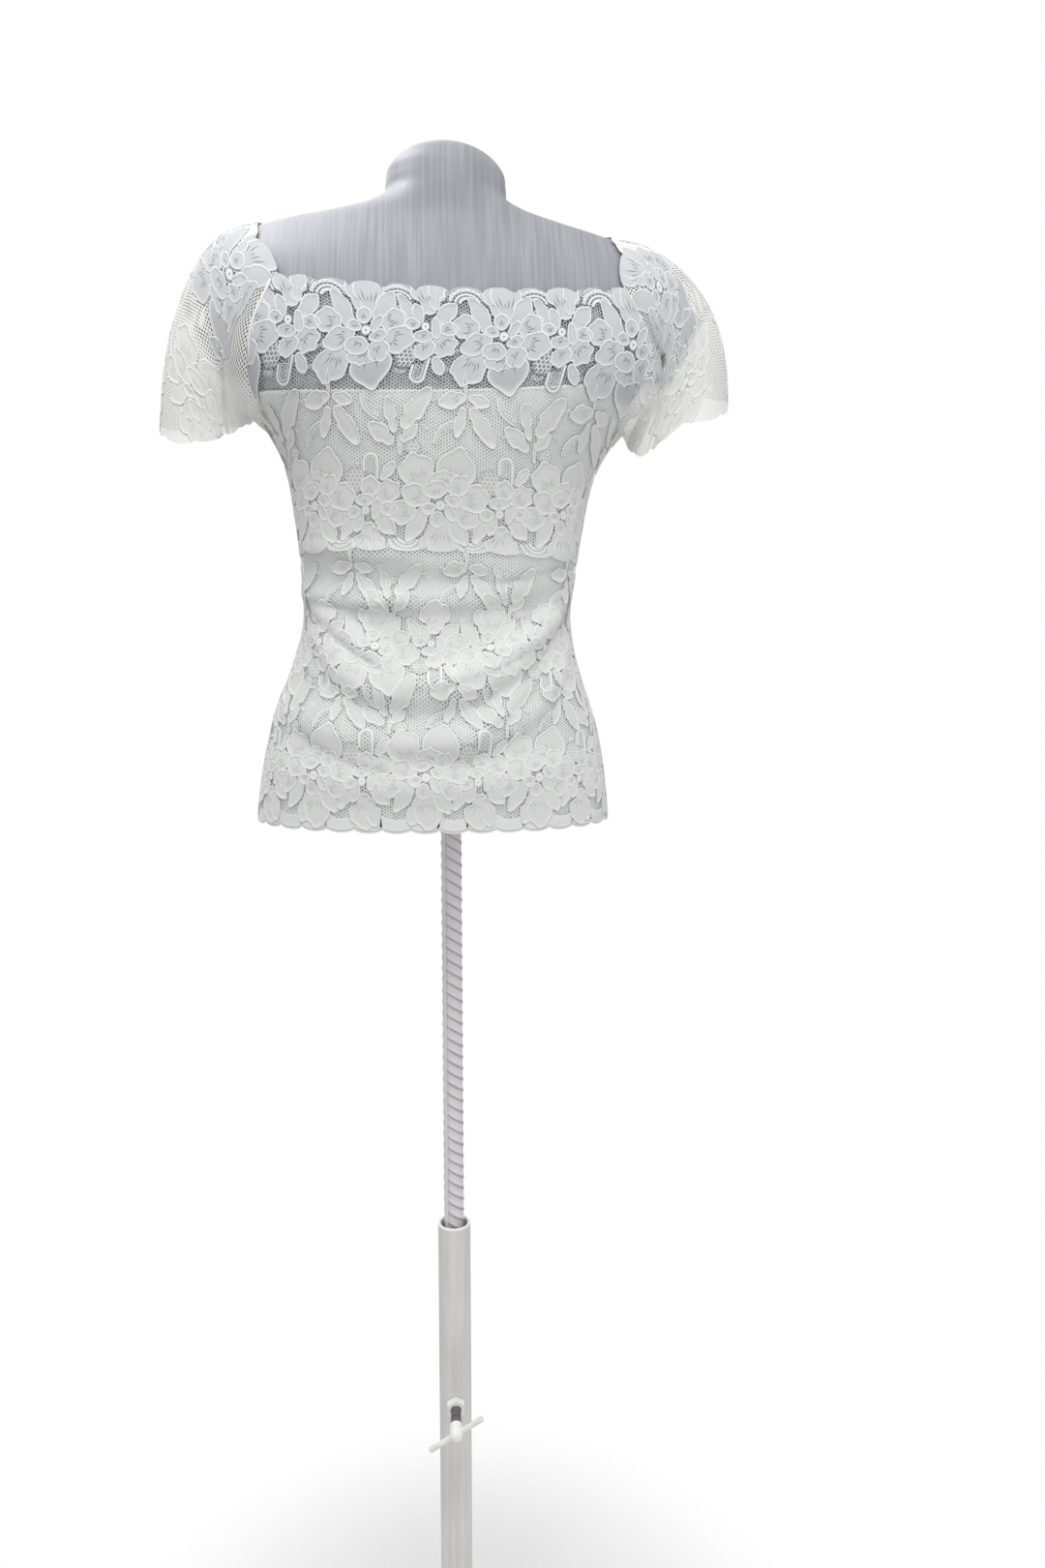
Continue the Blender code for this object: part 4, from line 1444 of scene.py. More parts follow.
class Nodes:
    """A short way to write a material's node tree."""

    YOKE_FADE = (1.352, 1.366)
    NET_TURNS = (0.0, 60.0, 120.0)

    def __init__(self, name: str) -> None:
        """Starts a material with a Principled shader.

        Args:
            name: the material's name.
        """
        self.material = bpy.data.materials.new(name)
        self.material.use_nodes = True
        self.tree = self.material.node_tree
        self.shader = self.tree.nodes["Principled BSDF"]

    def node(self, kind: str, inputs: Inputs | None = None, **settings: object) -> bpy.types.Node:
        """Adds a node.

        Args:
            kind: the node's type.
            inputs: what its inputs get, by name or number.
            settings: its properties.

        Returns:
            The node.
        """
        made = self.tree.nodes.new(kind)
        for key, value in settings.items():
            setattr(made, key, value)
        for key, value in (inputs or {}).items():
            self.feed(made.inputs[key], value)
        return made

    def feed(self, socket: Socket, value: object) -> None:
        """Links an input to a node's output, or sets it.

        Args:
            socket: the input.
            value: an output, a number, three numbers or a colour.
        """
        if isinstance(value, Socket):
            self.tree.links.new(value, socket)
        else:
            socket.default_value = (*value, 1.0) if socket.type == "RGBA" else value

    def surface(self, inputs: Inputs) -> None:
        """Feeds the shader's inputs by their names."""
        for name, value in inputs.items():
            self.feed(self.shader.inputs[name], value)

    def math(self, operation: str, *operands: object) -> Socket:
        """The result of a math node on outputs or numbers."""
        return self.node("ShaderNodeMath", dict(enumerate(operands)), operation=operation).outputs[0]

    def blend(self, first: Socket, share: float, second: Socket, other: float) -> Socket:
        """The sum of two values, each times its own share."""
        return self.math("ADD", self.math("MULTIPLY", first, share), self.math("MULTIPLY", second, other))

    def ranged(self, value: Socket, *limits: float, ramp: Ramp = Ramp.SMOOTH) -> Socket:
        """A value mapped from the first two limits to the last two."""
        inputs = dict(zip(("Value", "From Min", "From Max", "To Min", "To Max"), (value, *limits)))
        return self.node("ShaderNodeMapRange", inputs, interpolation_type=ramp.value).outputs["Result"]

    def linear(self, value: Socket, *limits: float) -> Socket:
        """The same along a straight line."""
        return self.ranged(value, *limits, ramp=Ramp.STRAIGHT)

    def mixed(self, factor: Socket, first: object, second: object) -> Socket:
        """A colour between two outputs or colours, by the second one's share."""
        return self.node("ShaderNodeMix", {0: factor, 6: first, 7: second}, data_type="RGBA").outputs[2]

    def noise(self, source: Socket, scale: Triple, detail: float = 3.0) -> Socket:
        """Noise at a place, from 0 to 1, with its own scale along each axis."""
        place = self.node("ShaderNodeMapping", {"Vector": source, "Scale": scale}).outputs[0]
        return self.node("ShaderNodeTexNoise", {"Scale": 1.0, "Detail": detail, "Vector": place}).outputs[0]

    def bump(self, height: Socket, distance: float, strength: float) -> None:
        """Drives the shader's normal by a relief with its depth in metres."""
        made = self.node("ShaderNodeBump", {"Strength": strength, "Distance": distance, "Height": height})
        self.surface({"Normal": made.outputs["Normal"]})

    def uv(self) -> Socket:
        """The cloth's UV map, in centimetres."""
        return self.node("ShaderNodeUVMap", uv_map="cloth").outputs["UV"]

    def place(self) -> Socket:
        """Object coordinates, in metres."""
        return self.node("ShaderNodeTexCoord").outputs["Object"]

    def tone(self) -> Socket:
        """The mesh's own tone."""
        return self.node("ShaderNodeAttribute", attribute_name="tone").outputs["Fac"]

    def parts(self, source: Socket) -> tuple[Socket, ...]:
        """The x, y and z of a place."""
        return tuple(self.node("ShaderNodeSeparateXYZ", {0: source}).outputs)

    def raised(self, parts: tuple[Socket, ...], rise: Pair, slant: float) -> Socket:
        """Nothing below a level and one above it; the level rises outwards by the slant.

        Args:
            parts: the place's parts.
            rise: where the change starts and ends.
            slant: how fast the level rises with the distance to either side.

        Returns:
            The share, from 0 to 1.
        """
        if not slant:
            return self.ranged(parts[2], *rise, 0.0, 1.0)
        aside = self.math("MULTIPLY", self.math("ABSOLUTE", parts[0]), slant)
        share = self.ranged(self.math("SUBTRACT", parts[2], aside), *rise, 0.0, 1.0)
        return self.math("MULTIPLY", share, self.ranged(parts[2], *self.YOKE_FADE, 0.0, 1.0))

    def threads(self, pitch: float) -> Socket:
        """Waves of a six-sided net on the cloth, from -1.5 on its threads to 3 in its holes.

        Args:
            pitch: the distance between threads in centimetres.

        Returns:
            The sum of three waves a third of a turn apart.
        """
        parts = self.parts(self.uv())
        waves = []
        for turn in self.NET_TURNS:
            across = self.math("MULTIPLY", parts[0], math.cos(math.radians(turn)))
            along = self.math("MULTIPLY", parts[1], math.sin(math.radians(turn)))
            phase = self.math("MULTIPLY", self.math("ADD", across, along), 2 * math.pi / pitch)
            waves.append(self.math("COSINE", phase))
        return self.math("ADD", self.math("ADD", waves[0], waves[1]), waves[2])


@dataclass(frozen=True)
class NetFinish:
    """The lace's fine net: white threads with open holes between.

    The net is denser the higher closed is, above the rise, or low_closed, below it, and denser again
    above the crest, where there is one.
    """

    name: str
    colour: Triple = (0.82, 0.83, 0.83)
    pitch: float = 0.235
    closed: float = -1.0
    low_closed: float = -0.50
    rise: Pair = (1.340, 1.350)
    slant: float = 0.0
    crest: float | None = None
    crest_spread: float = 0.008
    crest_closed: float = 1.8

    def material(self) -> bpy.types.Material:
        """Builds the material.

        Returns:
            The material.
        """
        nodes = Nodes(self.name)
        waves = nodes.threads(self.pitch)
        tangle = nodes.noise(nodes.uv(), (3.0, 3.0, 1.0), 2.0)
        edge = nodes.math("ADD", waves, nodes.math("MULTIPLY", tangle, 0.8))
        parts = nodes.parts(nodes.place())
        high = nodes.raised(parts, self.rise, self.slant)
        closed = nodes.linear(high, 0.0, 1.0, self.low_closed, self.closed)
        if self.crest is not None:
            fade = (self.crest - self.crest_spread, self.crest + self.crest_spread)
            closed = nodes.math("ADD", closed, nodes.ranged(parts[2], *fade, 0.0, self.crest_closed))
        alpha = nodes.linear(nodes.math("SUBTRACT", edge, closed), 0.0, 0.7, 1.0, 0.0)
        nodes.surface({"Alpha": alpha, "Base Color": self.colour, "Roughness": 0.85})
        return nodes.material


@dataclass(frozen=True)
class WorkFinish:
    """The raised white work: dense stitching, darker where it opens and where its low tones paint shadows
    round petals and beside cords, with a fine thread grain.
    """

    name: str
    light: Triple = (0.88, 0.89, 0.88)
    high_light: Triple = (0.86, 0.88, 0.90)
    dark: Triple = (0.20, 0.21, 0.23)
    soft: Triple = (0.55, 0.56, 0.55)
    rise: Pair = (1.340, 1.352)
    slant: float = 0.0

    def material(self) -> bpy.types.Material:
        """Builds the material.

        Returns:
            The material.
        """
        nodes = Nodes(self.name)
        high = nodes.raised(nodes.parts(nodes.place()), self.rise, self.slant)
        dark = nodes.mixed(high, self.soft, self.dark)
        light = nodes.mixed(high, self.light, self.high_light)
        grain = nodes.noise(nodes.uv(), (26.0, 70.0, 1.0), 2.0)
        uneven = nodes.math("MULTIPLY", nodes.math("SUBTRACT", grain, 0.5), 0.22)
        share = nodes.linear(nodes.math("ADD", nodes.tone(), uneven), 0.0, 1.0, 0.0, 1.0)
        colour = nodes.mixed(share, dark, light)
        nodes.surface({"Base Color": colour, "Roughness": 0.78, "Sheen Weight": 0.15})
        nodes.bump(grain, 0.0002, 0.6)
        return nodes.material


@dataclass(frozen=True)
class KnitFinish:
    """The lining: a smooth opaque knit with fine ribs, paler from just below the fold line up, a painted
    highlight on the fold's rounded top.

    The pitches, the edge and the fold's reach below it are in centimetres.
    """

    name: str
    colour: Triple = (0.79, 0.80, 0.785)
    fold_highlight: Triple = (0.95, 0.95, 0.94)
    wale: float = 0.08
    course: float = 0.06
    edge: float = BAND_Z * 100.0
    fold: Pair = (0.34, 0.24)

    def material(self) -> bpy.types.Material:
        """Builds the material.

        Returns:
            The material.
        """
        nodes = Nodes(self.name)
        parts = nodes.parts(nodes.uv())
        wales = nodes.math("SINE", nodes.math("MULTIPLY", parts[0], 2 * math.pi / self.wale))
        courses = nodes.math("SINE", nodes.math("MULTIPLY", parts[1], 2 * math.pi / self.course))
        cloud = nodes.ranged(nodes.noise(nodes.uv(), (0.7, 0.7, 1.0)), 0.3, 0.7, 0.0, 1.0)
        pale = tuple(min(1.0, value * 1.05) for value in self.colour)
        dull = tuple(value * 0.93 for value in self.colour)
        # Painted highlight: the knit turns paler over the fold's top.
        fold = nodes.linear(parts[1], self.edge - self.fold[0], self.edge - self.fold[1], 0.0, 1.0)
        colour = nodes.mixed(fold, nodes.mixed(cloud, dull, pale), self.fold_highlight)
        nodes.surface({"Base Color": colour, "Roughness": 0.8, "Sheen Weight": 0.2})
        nodes.bump(nodes.math("MULTIPLY", wales, courses), 0.00012, 0.5)
        return nodes.material


@dataclass(frozen=True)
class SilverFinish:
    """Silver paint with a soft upright brushed grain."""

    name: str
    light: Triple = (0.475, 0.485, 0.52)
    dark: Triple = (0.365, 0.375, 0.41)

    def material(self) -> bpy.types.Material:
        """Builds the material.

        Returns:
            The material.
        """
        nodes = Nodes(self.name)
        place = nodes.place()
        fine = nodes.noise(place, (420.0, 16.0, 11.0), 2.0)
        broad = nodes.noise(place, (46.0, 9.0, 9.0), 2.0)
        share = nodes.ranged(nodes.blend(fine, 0.65, broad, 0.35), 0.36, 0.66, 0.0, 1.0)
        nodes.surface({
            "Base Color": nodes.mixed(share, self.dark, self.light),
            "Metallic": 0.45,
            "Roughness": nodes.ranged(fine, 0.3, 0.7, 0.40, 0.56),
        })
        nodes.bump(fine, 0.0002, 0.4)
        return nodes.material


@dataclass(frozen=True)
class MetalFinish:
    """Painted, bare or plated metal with uneven colour and scratches.

    stretch gives the grain's scale along each axis; above rim_z, where there is one, it is bright.
    """

    name: str
    light: Triple
    dark: Triple
    metallic: float
    roughness: float
    stretch: Triple = (180.0, 180.0, 180.0)
    rim_z: float | None = None
    rim_fade: float = 0.0004
    rim_colour: Triple = (0.96, 0.96, 0.955)

    def material(self) -> bpy.types.Material:
        """Builds the material.

        Returns:
            The material.
        """
        nodes = Nodes(self.name)
        place = nodes.place()
        grain = nodes.noise(place, self.stretch, 4.0)
        cloud = nodes.noise(place, (24.0, 24.0, 10.0))
        share = nodes.ranged(nodes.blend(grain, 0.5, cloud, 0.5), 0.36, 0.64, 0.0, 1.0)
        ground = nodes.mixed(share, self.dark, self.light)
        if self.rim_z is not None:
            rim = nodes.ranged(nodes.parts(place)[2], self.rim_z - self.rim_fade, self.rim_z, 0.0, 1.0)
            ground = nodes.mixed(rim, ground, self.rim_colour)
        nodes.surface({
            "Base Color": ground,
            "Metallic": self.metallic,
            "Roughness": nodes.ranged(grain, 0.3, 0.7, self.roughness - 0.08, self.roughness + 0.10),
        })
        nodes.bump(grain, 0.0003, 0.4)
        return nodes.material


@dataclass(frozen=True)
class BarFinish:
    """Ribbed steel: the mesh's tone paints highlights and shadows along the ribs, with a fine mill scale and
    clouds.
    """

    name: str = "ribbed_bar_steel"
    # The light colour paints the ribs' highlights and the dark one their shadows.
    light: Triple = (0.93, 0.91, 0.925)
    middle: Triple = (0.82, 0.775, 0.80)
    dark: Triple = (0.36, 0.335, 0.35)
    middle_tone: float = 0.55

    def material(self) -> bpy.types.Material:
        """Builds the material.

        Returns:
            The material.
        """
        nodes = Nodes(self.name)
        place = nodes.place()
        grain = nodes.noise(place, (420.0, 420.0, 420.0), 4.0)
        cloud = nodes.noise(place, (60.0, 60.0, 24.0))
        uneven = nodes.math("SUBTRACT", nodes.blend(grain, 0.30, cloud, 0.20), 0.25)
        shade = nodes.math("ADD", nodes.tone(), uneven)
        low = nodes.mixed(nodes.linear(shade, 0.0, self.middle_tone, 0.0, 1.0), self.dark, self.middle)
        high = nodes.linear(shade, self.middle_tone, 1.0, 0.0, 1.0)
        nodes.surface({
            "Base Color": nodes.mixed(high, low, self.light),
            "Metallic": 0.25,
            "Roughness": nodes.ranged(grain, 0.3, 0.7, 0.40, 0.58),
        })
        nodes.bump(grain, 0.0003, 0.4)
        return nodes.material


@dataclass(frozen=True)
class FloorFinish:
    """A pale matt studio floor that fades out between two distances."""

    name: str = "studio_floor"
    solid_to: float = 0.17
    gone_at: float = 0.46

    def material(self) -> bpy.types.Material:
        """Builds the material.

        Returns:
            The material.
        """
        nodes = Nodes(self.name)
        away = nodes.node("ShaderNodeVectorMath", {0: nodes.place()}, operation="LENGTH")
        shown = nodes.ranged(away.outputs["Value"], self.solid_to, self.gone_at, 1.0, 0.0)
        nodes.surface({"Alpha": shown, "Base Color": (0.86, 0.86, 0.86), "Roughness": 0.9})
        return nodes.material


SLEEVE_RISE = (1.000, 1.016)
SLEEVE_SLANT = 1.83
NET = NetFinish("white_net")
SLEEVE_NET = NetFinish(
    "white_sleeve_net", (0.86, 0.86, 0.825), 0.235, 0.25, 1.60, SLEEVE_RISE, SLEEVE_SLANT, 1.474
)
WORK = WorkFinish("white_raised_work")
SLEEVE_WORK = WorkFinish(
    "white_sleeve_work", (0.88, 0.89, 0.86), (0.78, 0.80, 0.82), (0.24, 0.25, 0.26), (0.66, 0.66, 0.62),
    SLEEVE_RISE, SLEEVE_SLANT,
)
KNIT = KnitFinish("white_knit", (0.83, 0.84, 0.825))
SILVER = SilverFinish("silver_paint")
BAR_STEEL = BarFinish()
TUBE_PAINT = MetalFinish(
    "tube_paint", (0.79, 0.78, 0.775), (0.67, 0.66, 0.655), 0.05, 0.42, (260.0, 260.0, 7.0), 0.5582
)
ZINC = MetalFinish("zinc_plating", (0.92, 0.92, 0.91), (0.80, 0.80, 0.79), 0.10, 0.38)
BRIGHT_ZINC = MetalFinish("bright_zinc", (0.97, 0.97, 0.965), (0.88, 0.88, 0.875), 0.05, 0.34)
# The threaded shank's dark colour is painted shade, for the shadow between the nut and the head.
SHADED_THREAD = MetalFinish("shaded_thread_steel", (0.30, 0.29, 0.29), (0.16, 0.15, 0.15), 0.7, 0.5)


def finish_piece(
    piece: bpy.types.Object, material: bpy.types.Material, body: str = "lifted",
    replaces: tuple[str, ...] = (),
) -> bpy.types.Object:
    """Gives a piece its material, its body and the solids it stands for.

    Args:
        piece: the finished mesh.
        material: its material.
        body: the body it rides on.
        replaces: the solids it stands for.

    Returns:
        The same piece.
    """
    piece.data.materials.clear()
    piece.data.materials.append(material)
    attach(piece, body)
    if replaces:
        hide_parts(*replaces)
    LOG.info("%s: %d faces", piece.name, len(piece.data.polygons))
    return piece


# The garment

UPPER_REPEAT = 113.5
LOWER_REPEAT = 98.0
NECK_MM = NECK_Z / MM
JOIN_MM = JOIN_Z / MM
HEM_MM = HEM_Z / MM
UPPER_ROWS = (
    Row(LARGE_FLOWER, -75.0, NECK_MM - 33.5, UPPER_REPEAT),
    Row(SMALL_FLOWER, -26.5, NECK_MM - 28.0, UPPER_REPEAT),
    Row(SPRIG_DOWN, -94.0, 1345.0, UPPER_REPEAT),
    Row(SPRIG_UP, -34.0, 1296.0, UPPER_REPEAT),
    Row(LARGE_FLOWER, 0.0, JOIN_MM + 35.0, UPPER_REPEAT, True),
    Row(SMALL_FLOWER, -63.0, JOIN_MM + 30.0, UPPER_REPEAT, True),
)
LOWER_ROWS = (
    Row(SPRIG_DOWN, -74.0, 1209.0, LOWER_REPEAT, False, 0.9),
    Row(SPRIG_UP, -37.0, 1160.0, LOWER_REPEAT, False, 0.9),
    Row(LARGE_FLOWER, 45.0, 1129.0, LOWER_REPEAT, False, 0.9),
    Row(SMALL_FLOWER, -5.6, 1134.0, LOWER_REPEAT, False, 0.9),
    Row(SPRIG_DOWN, 15.0, 1099.0, LOWER_REPEAT, False, 0.9),
    Row(SPRIG_UP, -39.0, 1058.0, LOWER_REPEAT, False, 0.9),
    Row(LARGE_FLOWER, -106.0, HEM_MM + 43.5, LOWER_REPEAT, True, 0.93),
    Row(SMALL_FLOWER, -62.0, HEM_MM + 40.0, LOWER_REPEAT, True, 0.93),
)
LOBE_PHASE = -0.0770 - SCALLOP_PITCH / 2
HEM_PHASE = -0.0080 - HEM_SCALLOP_PITCH / 2


@dataclass(frozen=True)
class Edge:
    """A panel's edge: its level, its scallops, which point up with a positive depth, its skew and bow."""

    base: float
    depth: float = 0.0
    pitch: float = SCALLOP_PITCH
    phase: float = -SCALLOP_PITCH / 2
    skew: float = 0.0
    bow: float = 0.0

    def sweep(self, share: np.ndarray) -> np.ndarray:
        """The rise of the skew and the bow at shares of the width."""
        return self.bow * (2 * share - 1) ** 2 + self.skew * (2 * share - 1)

    def heights(self, share: np.ndarray, cloth: PanelSurface) -> np.ndarray:
        """The edge's heights at shares of the width of its panel's surface."""
        x = (share - 0.5) * cloth.width(np.full_like(share, self.base))
        return self.base + self.sweep(share) + self.depth * scallop((x - self.phase) / self.pitch)


class Border:
    """A scalloped selvedge: a cord along the edge, one inside it, fine ribs and fans between flowers.

    Its sizes are in millimetres.
    """

    INSET = 2.6
    RIB_STEP = 1.45
    LINE_STEP = 1.4
    FANS = 4
    # Radius, width, height and tone of a fan's arches
    ARCHES = (
        (15.0, 2.8, 0.07, 0.84),
        (12.5, 2.2, 0.05, -0.1),
        (10.6, 1.5, 0.08, 0.92),
        (8.9, 1.9, 0.05, -0.1),
        (6.8, 2.2, 0.08, 0.90),
    )

    def __init__(self, relief: Relief, edge: Edge) -> None:
        """Keeps the edge's shape.

        Args:
            relief: the work that the border is added to.
            edge: the edge it runs along.
        """
        self.relief = relief
        self.way = 1.0 if edge.depth > 0 else -1.0
        self.depth, self.pitch = abs(edge.depth) / MM, edge.pitch / MM
        self.base, self.phase = edge.base / MM, edge.phase / MM

    def line(self, x: np.ndarray, inset: float) -> np.ndarray:
        """The edge's chart line, or a line inset from it."""
        rise = self.depth * scallop((x - self.phase) / self.pitch)
        return np.stack([x, self.base + self.way * (rise - inset)], axis=1)

    def lines(self, reach: float) -> None:
        """The two cords and the ribs between them.

        Args:
            reach: how far they run to either side of the middle.
        """
        spot = Spot(0.0, 0.0)
        x = np.linspace(-reach, reach, int(2 * reach / self.LINE_STEP))
        self.relief.band(spot, self.line(x, self.INSET / 2 + 0.2), 1.7, 0.03, 0.0)
        self.relief.cord(spot, self.line(x, 0.35), width=0.8)
        self.relief.cord(spot, self.line(x, self.INSET), width=0.6, height=0.35)
        for place in np.arange(-reach, reach, self.RIB_STEP):
            ends = np.array([place, place])
            rib = np.array([self.line(ends, 0.5)[0], self.line(ends, self.INSET)[1]])
            self.relief.cord(spot, rib, width=0.5, height=0.28)

    def backing(self, reach: float) -> None:
        """A denser strip along the edge, as far as a reach to either side."""
        x = np.linspace(-reach, reach, int(2 * reach / self.LINE_STEP))
        self.relief.band(Spot(0.0, 0.0), self.line(x, 6.4), 12.4, 0.012, 0.80)

    def fans(self) -> None:
        """Fans between the flowers, one for every two scallops."""
        for number in range(-self.FANS, self.FANS):
            self.fan(self.phase + (2 * number + 1.5) * self.pitch)

    def fan(self, x: float) -> None:
        """A fan between two flowers: white and dark arches, the dark ones crossed by rungs.

        Args:
            x: its place across.
        """
        spot = Spot(x, self.base, 1.0, self.way)
        turn = np.radians(np.linspace(14.0, 166.0, 19))
        ways = np.stack([np.cos(turn), np.sin(turn)], axis=1) * (1.0, 0.86)
        middle = np.array([0.0, -9.0])
        for radius, width, height, tone in self.ARCHES:
            self.relief.band(spot, ways * radius + middle, width, height, tone)
        for radius, reach in ((12.5, 1.2), (8.9, 1.0)):
            for way in ways[1:-1:2]:
                rung = np.array([way * (radius + reach), way * (radius - reach)])
                self.relief.cord(spot, rung + middle, width=0.55, height=0.14, tone=0.9)
        for way in ways[1::2]:
            self.relief.disc(spot, tuple(way * 14.6 + middle), (0.4, 0.4), 0.11, 0.0)


@dataclass
class LacePanel(LacePiece):
    """One lace panel. Its motifs follow one of its edges, less and less as far as a still level."""

    cloth: PanelSurface
    rows: tuple[Row, ...]
    top: Edge
    bottom: Edge
    followed: Edge
    still_z: float
    flat: Pair
    columns: int = 176
    steps: int = 96
    margin: float = 0.0004
    overrun: float = 30.0

    def edges(self, share: np.ndarray) -> tuple[np.ndarray, np.ndarray]:
        """The bottom and top edges' heights at shares of the width."""
        return self.bottom.heights(share, self.cloth), self.top.heights(share, self.cloth)

    def sheet(self) -> bpy.types.Object:
        """The net, as one thin sheet from edge to edge.

        Returns:
            The sheet.
        """
        share = np.linspace(0.0, 1.0, self.columns + 1)
        low, high = self.edges(share)
        rise = np.linspace(0.0, 1.0, self.steps + 1)[:, None]
        z = low + (high - low) * rise
        x = (share - 0.5) * self.cloth.width(z)
        return cloth_sheet(f"{self.name}_net", self.cloth, x, z, np.full_like(z, NET_OFFSET))

    def bend(self, x: np.ndarray, y: np.ndarray) -> tuple[np.ndarray, np.ndarray]:
        """Moves chart places to follow an edge.

        Args:
            x: places across.
            y: heights.

        Returns:
            The moved places.
        """
        share = np.clip(0.5 + x / self.cloth.width(y), 0.0, 1.0)
        near = np.clip((y - self.still_z) / (self.followed.base - self.still_z), 0.0, 1.0)
        return x, y + self.followed.sweep(share) * near

    def limits(self, x: np.ndarray, y: np.ndarray) -> tuple[np.ndarray, ...]:
        """How far the raised work may reach.

        Args:
            x: places across.
            y: heights.

        Returns:
            The left, right, low and high limits.
        """
        half = self.cloth.width(y) / 2 - self.margin
        low, high = self.edges(np.clip(0.5 + x / (2 * half), 0.0, 1.0))
        return -half, half, low, high

    def motifs(self) -> Relief:
        """The rows of motifs across the panel.

        Returns:
            The work.
        """
        work = Relief()
        half = float(self.cloth.widths.max()) / 2 / MM + self.overrun
        for row in self.rows:
            up = -row.size if row.inverted else row.size
            start = row.x - math.floor((row.x + half) / row.repeat) * row.repeat
            for x in np.arange(start, half, row.repeat):
                work.motif(Spot(float(x), row.y, row.size, up), row.motif)
        return work


@dataclass
class Lining:
    """One side's opaque lining, with a folded band along its top edge."""

    side: Side
    cloth: PanelSurface
    columns: int = 100
    steps: int = 138
    fold_steps: int = 12
    fold_from: float = 0.9906
    band_rise: float = 0.0005
    band_depth: float = 0.0085
    band_blur: float = 0.0006
    fold_rise: float = 0.0009
    fold_reach: float = 0.0013
    tuck: float = 0.0010

    def sheet(self) -> bpy.types.Object:
        """The knit from above the hem to the fold, and over the fold.

        Returns:
            The sheet.
        """
        share = np.linspace(0.0, 1.0, self.columns + 1)
        body = np.linspace(0.0, 0.99, self.steps + 1)
        rise = np.concatenate([body, np.linspace(self.fold_from, 1.0, self.fold_steps)])[:, None]
        across = 2 * share - 1
        low = LINING_HEM_Z + self.side.skewed(HEM_SKEW) * across
        level = low + (BAND_Z - low) * rise
        tilt, bow = BAND_TILT[self.side]
        near = np.clip((level - JOIN_Z) / (BAND_Z - JOIN_Z), 0.0, 1.0)
        z = level + (tilt * across + bow * across**2) * near
        below = BAND_Z - level
        lift = LINING_OFFSET + self.band_rise / (1.0 + np.exp((below - self.band_depth) / self.band_blur))
        fold = self.fold_rise * np.sqrt(np.maximum(0.0, 1 - (below / self.fold_reach - 1) ** 2))
        lift = lift + (fold - self.tuck * (below < 1e-6))
        x = (share - 0.5) * self.cloth.width(z)
        return cloth_sheet(f"{self.side.value}_lining_knit", self.cloth, x, z, lift, level)


